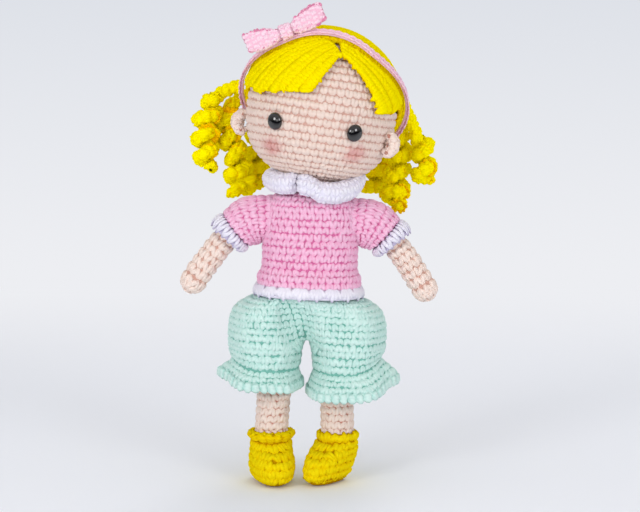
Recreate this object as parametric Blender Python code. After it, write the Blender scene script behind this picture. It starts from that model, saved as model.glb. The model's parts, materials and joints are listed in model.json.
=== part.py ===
"""Crocheted doll, built piece by piece as it would come apart on a bench.

Every length is in metres. The doll stands on Z = 0, faces -Y, and its own left side is +X.
Skins are hollow fabric, filled with separate stuffing, and clothes are separate shells over them.
"""
import math

import bmesh
import bpy
from mathutils import Matrix, Vector

MM = 0.001

# Clearances
FIT_GAP = 0.3 * MM
LOOSE_GAP = 0.5 * MM
CUT_OVERRUN = 3.0 * MM

# Fabric
SKIN_THICKNESS = 2.4 * MM
SHIRT_THICKNESS = 2.5 * MM
SHORTS_THICKNESS = 2.4 * MM
TRIM_THICKNESS = 2.4 * MM

# How far the neck, torso and hips stand before the origin, which is under the middle of the whole doll
DOLL_FORWARD = 9.9 * MM

# Head: its frame starts at the neck, with Z up the head's own axis
HEAD_HALF_WIDTH = 37.3 * MM
HEAD_HALF_DEPTH = 36.2 * MM
HEAD_CROWN = 38.4 * MM
HEAD_CHIN = 34.5 * MM
CHIN_POWER = 2.4
HEAD_TILT = 8.5
HEAD_TURN = -4.0
HEAD_SEGMENTS = 24
# Elevations of the rings round the head, from under the chin to the crown
HEAD_ELEVATIONS = (-60, -44, -28, -12, 5, 22, 40, 57, 72, 85)
HEAD_STUFFING_LOWEST = -84.0
NECK_TOP_HEIGHT = 151.5 * MM
NECK_TOP_ASIDE = 1.1 * MM
NECK_RADIUS = 10.8 * MM
NECK_HOLE_RADIUS = 8.0 * MM
NECK_RISE = 2.5 * MM
NECK_PLUG_REACH = 8.0 * MM

# Safety eyes and their washers
EYE_RADIUS = 4.0 * MM
EYE_DOME = 3.4 * MM
EYE_STEM_RADIUS = 1.2 * MM
EYE_STEM_LENGTH = 8.0 * MM
EYE_AZIMUTH = 31.5
EYE_ELEVATION = -10.8
WASHER_RADIUS = 4.6 * MM
WASHER_THICKNESS = 1.2 * MM
WASHER_SEAT = 1.4 * MM

# Ears: a crocheted strip curled to a C
EAR_CURL_RADIUS = 4.1 * MM
EAR_STRIP_RADIUS = 2.3 * MM
RIGHT_EAR_AZIMUTH = -88.0
LEFT_EAR_AZIMUTH = 75.0
EAR_ELEVATION = -16.5
EAR_ARC = 230.0

# Hair cap, the line of its rim round the head, and the fringe
HAIR_THICKNESS = 3.6 * MM
HAIR_SEAT = 0.9 * MM
RIM_LEAN_TOP = -29.0
RIM_LEAN_NAPE = 58.0
RIM_TURN_START = 30.0
CAP_POLE_ELEVATION = 28.0
CAP_SEGMENTS = 28
FRINGE_SEAM = 0.35 * MM
FRINGE_EDGE_SHARE = 0.55
FRINGE_RIM_MARGIN = 1.6
FRINGE_STEPS = 6
# Azimuth and elevation, in degrees, of the seams between strips: at the parting and at the tips.
# The outermost seam of each side follows the cap's rim from one angle round it to another.
RIGHT_FRINGE_SEAMS = (
    ((15.0, 45.5), (-5.0, 13.5)),
    ((12.5, 49.0), (-16.5, 11.5)),
    ((10.0, 52.5), (-26.5, 11.0)),
    ((4.0, 57.0), (-41.0, 7.5)),
    ((-6.0, 59.5), (-60.0, 7.0)),
)
LEFT_FRINGE_SEAMS = (
    ((16.5, 45.5), (49.5, 4.5)),
    ((14.0, 52.0), (65.0, 7.0)),
)
RIGHT_FRINGE_RIM = (-14.0, -76.0)
LEFT_FRINGE_RIM = (9.0, 76.0)

# Headband and bow
BAND_RADIUS = 1.5 * MM
BAND_INSET = 2.5
BAND_POINTS = 32
BOW_PLACE = -33.0
BOW_LEAN = -34.0
BOW_HALF_LENGTH = 20.0 * MM
BOW_HALF_HEIGHT = 5.2 * MM
BOW_HALF_THICKNESS = 1.7 * MM
BOW_WING_LIFT = 2.6 * MM
BOW_PINCH_SHARE = 0.46
KNOT_FACE_SHARE = 0.8
BOW_RISE_ANGLE = 55.0
KNOT_THICKNESS = 1.5 * MM
KNOT_SEGMENTS = 14
KNOT_HALF_WIDTH = 3.0 * MM

# Corkscrew curls
CURL_STRAND_RADIUS = 3.0 * MM
CURL_HELIX_RADIUS = 3.0 * MM
CURL_PITCH = 9.4 * MM
CURL_POINTS_PER_TURN = 8
CURL_TIP_PULL = 20.0 * MM
CURL_DROP = 50.0 * MM
# The round root's points behind its centre with their thickness, the straight points, and the thin tip
CURL_ROOT_SHARES = ((0.9, 0.35), (0.55, 0.84), (0.0, 1.0))
CURL_STRAIGHT_SHARES = (0.35, 0.7)
CURL_TIP_SHARES = (0.85, 0.5)

# Each side's four curls: the root's azimuth and elevation on the cap, how far the curl pulls outwards
# before it bends, and how far its tip lies aside, behind and below; all but the angles are shares of
# CURL_DROP.
RIGHT_CURL_SHARES = {
    "side": (("outer", (-110.0, 8.0), 0.38, (0.44, 0.02, 0.84)),
             ("inner", (-125.0, 4.0), 0.26, (0.24, 0.00, 1.06))),
    "back": (("outer", (-142.0, -9.0), 0.24, (0.18, 0.12, 0.80)),
             ("inner", (-163.0, -13.0), 0.24, (0.08, 0.16, 0.72))),
}
LEFT_CURL_SHARES = {
    "side": (("outer", (125.0, 14.0), 0.24, (0.31, 0.02, 0.89)),
             ("inner", (143.0, 6.0), 0.22, (0.20, 0.00, 1.00))),
    "back": (("outer", (161.0, -8.0), 0.24, (0.16, 0.14, 0.71)),
             ("inner", (179.0, -13.0), 0.24, (0.06, 0.18, 0.66))),
}

# Torso: its frame is the doll's, turned by TORSO_TILT about a point at PIVOT_HEIGHT
TORSO_ASIDE = 0.5 * MM
TORSO_TILT = 2.0
PIVOT_HEIGHT = 115.0 * MM
BODY_HALF_WIDTH = 21.2 * MM
BODY_HALF_DEPTH = 17.2 * MM
BODY_BOTTOM_HEIGHT = 87.2 * MM
SHOULDER_TOP_HEIGHT = 144.5 * MM
TORSO_POWER = 2.3
TORSO_SEGMENTS = 20
# Height, width and depth of the body's rings, as shares of the body's sizes
BODY_PROFILE_SHARES = (
    (0.00, 0.82, 0.74), (0.06, 0.94, 0.85), (0.29, 0.96, 0.96), (0.38, 1.00, 1.00), (0.75, 1.00, 0.98),
    (0.87, 0.96, 0.93), (0.94, 0.84, 0.84), (1.00, 0.58, 0.68),
)

# Shirt, with its hem trim and collar
SHIRT_HEM_HEIGHT = 99.5 * MM
SHIRT_HEM_FLARE = 1.9 * MM
TRIM_DROP = 4.2 * MM
TRIM_FLARE = 2.2 * MM
TRIM_SCALLOP = 0.5 * MM
TRIM_WAVES = 14
COLLAR_HEIGHT = 149.8 * MM
COLLAR_INNER_RADIUS = 13.2 * MM
COLLAR_WIDTH = 13.0 * MM
COLLAR_FALL = 3.0 * MM
COLLAR_RIPPLE = 1.9 * MM
COLLAR_WAVES = 8
COLLAR_OPENING = 5.0
COLLAR_OPENING_AZIMUTH = -21.0

# Arms: the path runs out of the body's side and down to the hand, from the shoulder's pivot
SHOULDER_HALF_SPAN = 24.5 * MM
SHOULDER_HEIGHT = 132.0 * MM
ARM_STRAIGHT = 9.5 * MM
ELBOW_REACH = 17.5 * MM
ELBOW_DROP = 7.5 * MM
HAND_REACH = 33.4 * MM
HAND_DROP = 32.5 * MM
ARM_RADIUS = 6.0 * MM
HAND_RADIUS = 6.7 * MM
ARM_SEGMENTS = 12
ARM_RINGS = 6
SLEEVE_ROOT_RADIUS = 10.6 * MM
SLEEVE_PUFF_RADIUS = 12.4 * MM
SLEEVE_END_RADIUS = 10.8 * MM
SLEEVE_SHARE = 0.47
CUFF_SHARE = 0.60
CUFF_RADIUS = 11.5 * MM
SLEEVE_SEGMENTS = 16

# Legs: pivots in the hips, ankles set apart, feet turned in
HIP_HALF_SPAN = 14.2 * MM
LEG_RADIUS = 8.5 * MM
LEG_HOLE_RADIUS = 3.0 * MM
LEG_SEGMENTS = 16
RIGHT_ANKLE_ASIDE = -19.3 * MM
LEFT_ANKLE_ASIDE = 14.3 * MM
RIGHT_FOOT_TURN = 10.0
LEFT_FOOT_TURN = -32.0

# Boots, whose outline at each height is in shares of these sizes
BOOT_HEIGHT = 24.0 * MM
BOOT_THICKNESS = 2.0 * MM
BOOT_TOE_REACH = 23.5 * MM
BOOT_HEEL_REACH = 11.0 * MM
BOOT_HALF_WIDTH = 11.3 * MM
BOOT_RIM_ROLL = 0.9 * MM
BOOT_POWER = 2.3
# Height, toe, heel and width shares
BOOT_PROFILE_SHARES = (
    (0.00, 0.84, 0.82, 0.76), (0.11, 0.97, 0.93, 0.93), (0.30, 1.02, 0.99, 1.02), (0.48, 0.94, 0.99, 0.99),
    (0.62, 0.78, 0.97, 0.95), (0.73, 0.60, 0.96, 0.93),
)
BOOT_SHAFT_SHARE = 0.86
INSOLE_THICKNESS = 1.2 * MM

# Shorts: a waistband, two full legs gathered near the hem, and a frill below the gathers
WAIST_TUCK = 2.0 * MM
SHORTS_HALF_DEPTH = 21.5 * MM
SHORTS_LEG_HALF_WIDTH = 18.8 * MM
SHORTS_LEG_ASIDE = 20.6 * MM
CROTCH_HEIGHT = 69.0 * MM
GATHER_HEIGHT = 57.0 * MM
HEM_HEIGHT = 47.5 * MM
# How much higher the frill and its gather are at the leg's outer side
RIGHT_FRILL_LIFT = 4.0 * MM
LEFT_FRILL_LIFT = 7.0 * MM
GATHER_SHARE = 0.93
FRILL_FLARE = 7.0 * MM
FRILL_RIPPLE = 1.6 * MM
FRILL_WAVES = 6
SHORTS_LEG_SEGMENTS = 24
CROTCH_SEGMENTS = 6
# Share of the way up from crotch to waistband, the share drawn in to the waistband there, and the bulge
# as a share of the leg's half width
SHORTS_RISE_SHARES = ((0.26, 0.02, 0.03), (0.52, 0.09, 0.05), (0.74, 0.27, 0.07), (0.90, 0.62, 0.05))

# Colours, as sRGB hex values
SKIN_COLOUR = "E4CCBC"
HAIR_COLOUR = "F0E005"
PINK_COLOUR = "E3A4C6"
PALE_PINK_COLOUR = "EBC0CD"
MINT_COLOUR = "B7DAD4"
WHITE_COLOUR = "F2F0F5"
BOOT_COLOUR = "E3C102"
BLACK_COLOUR = "141414"
STUFFING_COLOUR = "F4F2EC"
CARD_COLOUR = "B9A88C"

RIGHT, LEFT = -1, 1
SIDE_NAMES = {RIGHT: "right", LEFT: "left"}


def clear_scene():
    for item in list(bpy.data.objects):
        bpy.data.objects.remove(item, do_unlink=True)


def linear(channel):
    return channel / 12.92 if channel <= 0.04045 else ((channel + 0.055) / 1.055) ** 2.4


def material(name, colour, roughness=0.9):
    finish = bpy.data.materials.new(name)
    finish.use_nodes = True
    shader = finish.node_tree.nodes["Principled BSDF"]
    rgb = [linear(int(colour[k:k + 2], 16) / 255) for k in (0, 2, 4)]
    shader.inputs["Base Color"].default_value = (*rgb, 1)
    shader.inputs["Roughness"].default_value = roughness
    shader.inputs["Metallic"].default_value = 0
    return finish


def turn(degrees, axis):
    return Matrix.Rotation(math.radians(degrees), 4, axis)


HEAD_FRAME = (Matrix.Translation((NECK_TOP_ASIDE, -DOLL_FORWARD, NECK_TOP_HEIGHT)) @ turn(HEAD_TILT, "Y")
              @ turn(HEAD_TURN, "Z"))
TORSO_FRAME = (Matrix.Translation((TORSO_ASIDE, -DOLL_FORWARD, PIVOT_HEIGHT)) @ turn(TORSO_TILT, "Y")
               @ Matrix.Translation((0, 0, -PIVOT_HEIGHT)))
HEAD_CENTRE = Vector((0, 0, HEAD_CHIN))


def frame_empty(name, place, parent=None):
    """An empty that carries the pieces of one moving body; place is its matrix in the world."""
    empty = bpy.data.objects.new(name, None)
    bpy.context.collection.objects.link(empty)
    if parent is None:
        empty.matrix_basis = place
    else:
        empty.parent = parent
        empty.matrix_basis = Matrix(parent["place"]).inverted() @ place
    empty["place"] = [list(row) for row in place]
    return empty


def finish_piece(name, data, parent, finish):
    piece = bpy.data.objects.new(name, data)
    bpy.context.collection.objects.link(piece)
    data.materials.append(finish)
    piece.parent = parent
    return piece


def mesh_piece(name, points, faces, parent, finish, closed=True):
    """A mesh object; a closed one gets its faces turned outwards."""
    data = bpy.data.meshes.new(name)
    shape = bmesh.new()
    corners = [shape.verts.new(point) for point in points]
    for face in faces:
        shape.faces.new([corners[k] for k in face])
    if closed:
        bmesh.ops.recalc_face_normals(shape, faces=shape.faces)
    shape.to_mesh(data)
    shape.free()
    data.shade_smooth()
    data.set_sharp_from_angle(angle=math.radians(50))
    return finish_piece(name, data, parent, finish)


def loft(rings, capped=True):
    """Points and faces of a skin through rings of equal count; uncapped, the last ring joins the first."""
    count = len(rings[0])
    points = [point for ring in rings for point in ring]
    faces = []
    spans = len(rings) - 1 if capped else len(rings)
    for k in range(spans):
        low, high = k * count, ((k + 1) % len(rings)) * count
        for i in range(count):
            j = (i + 1) % count
            faces.append((low + i, low + j, high + j, high + i))
    if capped:
        for ring, base, step in ((rings[0], 0, -1), (rings[-1], (len(rings) - 1) * count, 1)):
            middle = len(points)
            points.append(sum((Vector(point) for point in ring), Vector()) / count)
            for i in range(count):
                pair = (base + i, base + (i + 1) % count)[::step]
                faces.append((*pair, middle))
    return points, faces


def oval(half_width, half_depth, count, power=2.0):
    """Points round an oval, squarer as power grows, at equal angles from +X."""
    points = []
    for k in range(count):
        angle = 2 * math.pi * k / count
        c, s = math.cos(angle), math.sin(angle)
        points.append((half_width * math.copysign(abs(c) ** (2 / power), c),
                       half_depth * math.copysign(abs(s) ** (2 / power), s)))
    return points


def level_ring(height, half_width, half_depth, count, power=2.0, aside=0.0):
    return [Vector((x + aside, y, height)) for x, y in oval(half_width, half_depth, count, power)]


def turned(profile, count, closed=False):
    """A turned shape about Z from (radius, height) pairs; closed joins the profile to itself."""
    rings = [level_ring(height, radius, radius, count) for radius, height in profile]
    return loft(rings, capped=not closed)


def offset_profile(profile, distance):
    """Rings of (height, half width, half depth) moved out along the profile's normal by distance."""
    moved = []
    for k, (height, width, depth) in enumerate(profile):
        low, high = profile[max(k - 1, 0)], profile[min(k + 1, len(profile) - 1)]
        rise, run = high[0] - low[0], high[1] - low[1]
        length = math.hypot(rise, run)
        moved.append((height - distance * run / length, width + distance * rise / length,
                      depth + distance * rise / length))
    return moved


def profile_rings(profile, count=TORSO_SEGMENTS, power=TORSO_POWER):
    return [level_ring(height, width, depth, count, power) for height, width, depth in profile]


def cutter(name, points, faces, parent, place=None):
    tool = mesh_piece(name, points, faces, parent, bpy.data.materials["stuffing"])
    if place is not None:
        tool.matrix_basis = place
    tool.hide_render = True
    tool.display_type = "WIRE"
    return tool


def cut(piece, tool):
    step = piece.modifiers.new("cut", "BOOLEAN")
    step.operation = "DIFFERENCE"
    step.solver = "EXACT"
    step.object = tool


def cord_piece(name, points, radius, parent, finish, radii=None, closed=False):
    """A six-sided tube along points, with flat ends unless it is closed."""
    data = bpy.data.curves.new(name, "CURVE")
    data.dimensions = "3D"
    data.bevel_depth = radius
    data.bevel_resolution = 1
    data.use_fill_caps = not closed
    line = data.splines.new("POLY")
    line.points.add(len(points) - 1)
    line.use_cyclic_u = closed
    for k, point in enumerate(points):
        line.points[k].co = (*point, 1)
        line.points[k].radius = radii[k] if radii else 1
    return finish_piece(name, data, parent, finish)


def face_direction(azimuth, elevation):
    """Unit direction on the head: azimuth 0 is the face, positive to the doll's left."""
    a, e = math.radians(azimuth), math.radians(elevation)
    return Vector((math.cos(e) * math.sin(a), -math.cos(e) * math.cos(a), math.sin(e)))


def head_reach(direction):
    """Distance from the head's centre to its outer skin along a unit direction."""
    flat = math.hypot(direction.x / HEAD_HALF_WIDTH, direction.y / HEAD_HALF_DEPTH)
    if direction.z >= 0:
        return (flat ** 2 + (direction.z / HEAD_CROWN) ** 2) ** -0.5
    return (flat ** CHIN_POWER + (-direction.z / HEAD_CHIN) ** CHIN_POWER) ** (-1 / CHIN_POWER)


def head_point(direction, rise=0.0):
    return HEAD_CENTRE + direction * (head_reach(direction) + rise)


def seat_frame(direction, rise):
    """A frame on the head's surface, with Z straight out of it and X towards the doll's left."""
    side = Vector((0, 0, 1)).cross(direction).normalized()
    up = direction.cross(side)
    place = Matrix((side, up, direction)).transposed().to_4x4()
    return Matrix.Translation(head_point(direction, rise)) @ place


def head_rings(rise, lowest):
    """Rings round the head, at a radial offset, from elevation lowest up to near the crown."""
    azimuths = [360 * i / HEAD_SEGMENTS for i in range(HEAD_SEGMENTS)]
    return [[head_point(face_direction(azimuth, elevation), rise) for azimuth in azimuths]
            for elevation in (lowest, *HEAD_ELEVATIONS)]


def neck_hole_elevation(rise):
    """Elevation at which the skin, at a radial offset, is as wide as the neck's hole."""
    low, high = -90.0, 0.0
    for _ in range(40):
        middle = (low + high) / 2
        point = head_point(face_direction(0, middle), rise)
        if math.hypot(point.x, point.y) < NECK_HOLE_RADIUS:
            low = middle
        else:
            high = middle
    return (low + high) / 2


def make_head(head, finishes):
    """Head skin with a neck hole and eye holes, and the stuffing that fills it."""
    outer = head_rings(0.0, neck_hole_elevation(0.0))
    inner = head_rings(-SKIN_THICKNESS, neck_hole_elevation(-SKIN_THICKNESS))
    skin = mesh_piece("head_skin", *loft(outer[::-1] + inner), head, finishes["skin"])
    fill = head_rings(-SKIN_THICKNESS - FIT_GAP, HEAD_STUFFING_LOWEST)
    stuffing = mesh_piece("head_stuffing", *loft(fill), head, finishes["stuffing"])
    recess_radius = NECK_HOLE_RADIUS + FIT_GAP
    recess = turned(((recess_radius, -CUT_OVERRUN), (recess_radius, NECK_PLUG_REACH + FIT_GAP)), 20)
    cut(stuffing, cutter("neck_recess_cutter", *recess, head))
    for side in (RIGHT, LEFT):
        make_eye(side, skin, stuffing, head, finishes)
        make_ear(side, head, finishes)


def make_eye(side, skin, stuffing, head, finishes):
    """A domed safety eye: its stem goes through the skin and is held by a washer inside."""
    name = SIDE_NAMES[side]
    place = seat_frame(face_direction(side * EYE_AZIMUTH, EYE_ELEVATION), FIT_GAP)
    arc = [(EYE_RADIUS * math.cos(a), EYE_DOME * math.sin(a))
           for a in (math.radians(angle) for angle in (0, 22, 44, 64, 80))]
    stem = [(EYE_STEM_RADIUS, -EYE_STEM_LENGTH), (EYE_STEM_RADIUS, 0)]
    eye = mesh_piece(f"eye_{name}", *turned(stem + arc, 16), head, finishes["black"])
    eye.matrix_basis = place
    top = -FIT_GAP - SKIN_THICKNESS - WASHER_SEAT
    bottom = top - WASHER_THICKNESS
    bore = EYE_STEM_RADIUS + FIT_GAP
    section = ((bore, bottom), (WASHER_RADIUS, bottom), (WASHER_RADIUS, top), (bore, top))
    washer = mesh_piece(f"eye_washer_{name}", *turned(section, 16, closed=True), head, finishes["black"])
    washer.matrix_basis = place
    hole = turned(((bore, -EYE_STEM_LENGTH), (bore, CUT_OVERRUN)), 12)
    cut(skin, cutter(f"eye_hole_cutter_{name}", *hole, head, place))
    pocket_radius = WASHER_RADIUS + FIT_GAP
    pocket = turned(((pocket_radius, -EYE_STEM_LENGTH - FIT_GAP), (pocket_radius, CUT_OVERRUN)), 16)
    cut(stuffing, cutter(f"eye_pocket_cutter_{name}", *pocket, head, place))


def make_ear(side, head, finishes):
    """An ear: a strip curled to a C, its back on the head and its hollow to the front."""
    azimuth = RIGHT_EAR_AZIMUTH if side == RIGHT else LEFT_EAR_AZIMUTH
    place = face_direction(azimuth, 0)
    centre = head_point(face_direction(azimuth, EAR_ELEVATION), EAR_STRIP_RADIUS + 2 * FIT_GAP)
    count = 11
    points = []
    for k in range(count):
        angle = math.radians(-EAR_ARC / 2 + EAR_ARC * k / (count - 1))
        out = EAR_CURL_RADIUS * math.cos(angle)
        points.append(centre + place * max(out, 0) + Vector((0, 0, EAR_CURL_RADIUS * math.sin(angle))))
    cord_piece(f"ear_{SIDE_NAMES[side]}", points, EAR_STRIP_RADIUS, head, finishes["skin"])


def smooth_step(share):
    share = min(max(share, 0), 1)
    return share * share * (3 - 2 * share)


def rim_direction(round_angle, inset=0.0):
    """Direction of the cap's rim: round_angle is 0 on top and 180 at the nape; inset moves it back."""
    share = smooth_step((abs(round_angle) - RIM_TURN_START) / (180 - 2 * RIM_TURN_START))
    lean = math.radians(RIM_LEAN_TOP + (RIM_LEAN_NAPE - RIM_LEAN_TOP) * share + inset)
    a = math.radians(round_angle)
    return Vector((math.sin(a) * math.cos(lean), math.sin(lean), math.cos(a) * math.cos(lean)))


def make_hair_cap(head, finishes):
    """The crocheted cap of hair: a bowl on the back of the head."""
    pole = face_direction(180, CAP_POLE_ELEVATION)
    layers = []
    for rise, shares in ((HAIR_SEAT + HAIR_THICKNESS, (0.06, 0.22, 0.38, 0.54, 0.7, 0.85, 1.0)),
                         (HAIR_SEAT, (1.0, 0.82, 0.64, 0.46, 0.28, 0.05))):
        for share in shares:
            ring = []
            for k in range(CAP_SEGMENTS):
                around = -180 + 360 * (k + 0.5) / CAP_SEGMENTS
                ring.append(head_point(pole.slerp(rim_direction(around), share), rise))
            layers.append(ring)
    mesh_piece("hair_cap", *loft(layers), head, finishes["hair"])


def fringe_seam_lines(seams, rim, steps):
    """Directions along each seam of one side's fringe, the outermost one in front of the cap's rim."""
    lines = [[face_direction(*top).slerp(face_direction(*tip), k / steps) for k in range(steps + 1)]
             for top, tip in seams]
    lines.append([rim_direction(rim[0] + (rim[1] - rim[0]) * k / steps, -FRINGE_RIM_MARGIN)
                  for k in range(steps + 1)])
    return lines


def make_fringe(name, seam_a, seam_b, head, finishes):
    """One strip of fringe on the forehead, between two seams from the parting to the tips."""
    along_steps, across_steps = len(seam_a) - 1, 4
    outer, inner = [], []
    for one, two in zip(seam_a, seam_b):
        width = (one - two).length * HEAD_HALF_WIDTH
        margin = FRINGE_SEAM / 2 / width
        for across in range(across_steps + 1):
            share = margin + (1 - 2 * margin) * across / across_steps
            middle = 1 - (2 * share - 1) ** 2
            direction = one.lerp(two, share).normalized()
            crown = FRINGE_EDGE_SHARE + (1 - FRINGE_EDGE_SHARE) * middle
            outer.append(head_point(direction, FIT_GAP + HAIR_THICKNESS * crown))
            inner.append(head_point(direction, FIT_GAP))
    mesh_piece(name, *slab(outer, inner, along_steps + 1, across_steps + 1), head, finishes["hair"])


def slab(upper, lower, rows, columns):
    """Points and faces of a curved slab between two grids of rows by columns points."""
    points = upper + lower
    shift = len(upper)
    faces = []
    for r in range(rows - 1):
        for c in range(columns - 1):
            a = r * columns + c
            quad = (a, a + 1, a + columns + 1, a + columns)
            faces.append(quad)
            faces.append(tuple(k + shift for k in quad[::-1]))
    edge = [c for c in range(columns)] + [r * columns + columns - 1 for r in range(1, rows)]
    edge += [(rows - 1) * columns + c for c in range(columns - 2, -1, -1)]
    edge += [r * columns for r in range(rows - 2, 0, -1)]
    for k, a in enumerate(edge):
        b = edge[(k + 1) % len(edge)]
        faces.append((a, b, b + shift, a + shift))
    return points, faces


def make_headband(head, finishes):
    """The cord round the head, over the cap just behind its rim and behind the ears."""
    rise = HAIR_SEAT + HAIR_THICKNESS + FIT_GAP + BAND_RADIUS
    points = [head_point(rim_direction(-180 + 360 * k / BAND_POINTS, BAND_INSET), rise)
              for k in range(BAND_POINTS)]
    cord_piece("headband", points, BAND_RADIUS, head, finishes["pale_pink"], closed=True)


def bow_frame():
    """The bow's frame: X along the band, Z along the ribbon's height, Y through its thickness."""
    a, lean = math.radians(BOW_PLACE), math.radians(BOW_LEAN)
    out = Vector((math.sin(a) * math.cos(lean), math.sin(lean), math.cos(a) * math.cos(lean)))
    along = Vector((math.cos(a), 0, -math.sin(a)))
    back = out.cross(along).normalized()
    if back.y < 0:
        back = -back
    rise = math.radians(BOW_RISE_ANGLE)
    height = back * math.cos(rise) + out * math.sin(rise)
    through = height.cross(along)
    knot_reach = math.hypot((BOW_HALF_THICKNESS + FIT_GAP + KNOT_THICKNESS) * math.cos(rise),
                            (BOW_HALF_HEIGHT * BOW_PINCH_SHARE + FIT_GAP + KNOT_THICKNESS) * math.sin(rise))
    place = Matrix((along, through, height)).transposed().to_4x4()
    middle = head_point(out, HAIR_THICKNESS + 2 * FIT_GAP + knot_reach)
    return Matrix.Translation(middle) @ place


def make_bow(head, finishes):
    """A flat strip pinched at its middle by a knot: two wings that widen to ruffled ends."""
    place = bow_frame()
    # Along the ribbon from its middle, with its height and thickness, as shares of the bow's sizes
    pinch = BOW_PINCH_SHARE
    half_shares = ((0.0, pinch, 1.0), (0.16, pinch, 1.0), (0.30, 0.78, 1.0), (0.5, 0.92, 0.85),
                   (0.72, 1.0, 0.8), (0.92, 0.98, 0.8), (1.0, 0.80, 0.6))
    stations = [(-a, h, t) for a, h, t in half_shares[:0:-1]] + list(half_shares)
    rings = []
    for along, height, thickness in stations:
        curl = BOW_HALF_THICKNESS * along * along
        rings.append([Vector((along * BOW_HALF_LENGTH, y + curl, z)) for y, z in
                      oval(BOW_HALF_THICKNESS * thickness, BOW_HALF_HEIGHT * height, 12)])
        for point in rings[-1]:
            point.z += BOW_WING_LIFT * max(abs(along) - KNOT_HALF_WIDTH / BOW_HALF_LENGTH, 0)
    ribbon = mesh_piece("bow_ribbon", *loft(rings), head, finishes["pale_pink"])
    ribbon.matrix_basis = place
    bore = (BOW_HALF_THICKNESS + FIT_GAP, BOW_HALF_HEIGHT * half_shares[0][1] + FIT_GAP)
    outside = (bore[0] + KNOT_THICKNESS, bore[1] + KNOT_THICKNESS)
    half = KNOT_HALF_WIDTH
    loops = []
    face = half * KNOT_FACE_SHARE
    for size, x in ((bore, -half), (outside, -face), (outside, face), (bore, half)):
        loops.append([Vector((x, y, z)) for y, z in oval(*size, KNOT_SEGMENTS)])
    knot = mesh_piece("bow_knot", *loft(loops, capped=False), head, finishes["pale_pink"])
    knot.matrix_basis = place


def torso_height(share):
    return BODY_BOTTOM_HEIGHT + share * (SHOULDER_TOP_HEIGHT - BODY_BOTTOM_HEIGHT)


def body_profile():
    return [(torso_height(s), BODY_HALF_WIDTH * w, BODY_HALF_DEPTH * d) for s, w, d in BODY_PROFILE_SHARES]


def neck_ring(radius, reach):
    """A ring square to the head's axis, at a reach above the neck's top, in the torso's frame."""
    into_torso = TORSO_FRAME.inverted() @ HEAD_FRAME @ turn(-HEAD_TURN, "Z")
    return [into_torso @ point for point in level_ring(reach, radius, radius, TORSO_SEGMENTS)]


def make_body(torso, finishes):
    """Body skin, closed below and open at the neck, and its stuffing with a plug up into the head."""
    profile = body_profile()
    inner = offset_profile(profile, -SKIN_THICKNESS)
    inner[0] = (profile[0][0] + SKIN_THICKNESS, *inner[0][1:])
    inner[1] = (profile[1][0] + SKIN_THICKNESS, *inner[1][1:])
    outer_rings = profile_rings(profile) + [neck_ring(NECK_RADIUS, -NECK_RISE), neck_ring(NECK_RADIUS, 0)]
    bore = NECK_HOLE_RADIUS + FIT_GAP
    inner_rings = profile_rings(inner[:-1]) + [neck_ring(bore, -NECK_RISE), neck_ring(bore, 0)]
    mesh_piece("body_skin", *loft(outer_rings + inner_rings[::-1]), torso, finishes["skin"])
    fill = offset_profile(inner[:-1], -FIT_GAP)
    fill[0] = (inner[0][0] + FIT_GAP, *fill[0][1:])
    plug = NECK_HOLE_RADIUS - FIT_GAP
    fill_rings = profile_rings(fill) + [neck_ring(plug, -NECK_RISE), neck_ring(plug, NECK_PLUG_REACH)]
    mesh_piece("body_stuffing", *loft(fill_rings), torso, finishes["stuffing"])


def shirt_profile():
    """The shirt's outside: over the body with a gap, and let out over the waistband below."""
    cover = LOOSE_GAP + SHIRT_THICKNESS
    width = BODY_HALF_WIDTH + cover
    depth = BODY_HALF_DEPTH + cover
    waist_end = SHIRT_HEM_HEIGHT + WAIST_TUCK + SHIRT_THICKNESS
    worn = [ring for ring in offset_profile(body_profile(), cover) if ring[0] > waist_end + SHIRT_THICKNESS]
    low = [(SHIRT_HEM_HEIGHT, width + SHIRT_HEM_FLARE, depth + SHIRT_HEM_FLARE),
           (waist_end, width + SHIRT_HEM_FLARE, depth + SHIRT_HEM_FLARE)]
    return low + worn


def make_shirt(torso, finishes):
    outside = shirt_profile()
    inside = offset_profile(outside, -SHIRT_THICKNESS)
    inside[0] = (outside[0][0], *inside[0][1:])
    rings = profile_rings(outside) + profile_rings(inside)[::-1]
    shirt = mesh_piece("shirt", *loft(rings, capped=False), torso, finishes["pink"])
    for side in (RIGHT, LEFT):
        radius = ARM_RADIUS + 2 * LOOSE_GAP
        armhole = turned(((radius, -CUT_OVERRUN), (radius, 2 * CUT_OVERRUN)), 16)
        inside_wall = BODY_HALF_WIDTH - CUT_OVERRUN / 2
        place = Matrix.Translation((side * inside_wall, 0, SHOULDER_HEIGHT)) @ turn(side * 90, "Y")
        cut(shirt, cutter(f"armhole_cutter_{SIDE_NAMES[side]}", *armhole, torso, place))


def make_hem_trim(torso, finishes):
    """A scalloped edging below the shirt's hem."""
    count = 3 * TRIM_WAVES
    hem = shirt_profile()[0]
    loops = []
    for out, drop in ((0, FIT_GAP), (TRIM_FLARE, TRIM_DROP), (TRIM_FLARE - TRIM_THICKNESS, TRIM_DROP),
                      (-TRIM_THICKNESS, FIT_GAP)):
        ring = []
        for k, (x, y) in enumerate(oval(hem[1] + out, hem[2] + out, count, TORSO_POWER)):
            wave = math.cos(2 * math.pi * k * TRIM_WAVES / count) * TRIM_SCALLOP
            ring.append(Vector((x, y, hem[0] - drop - (wave if drop > FIT_GAP else 0))))
        loops.append(ring)
    mesh_piece("hem_trim", *loft(loops, capped=False), torso, finishes["white"])


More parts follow.
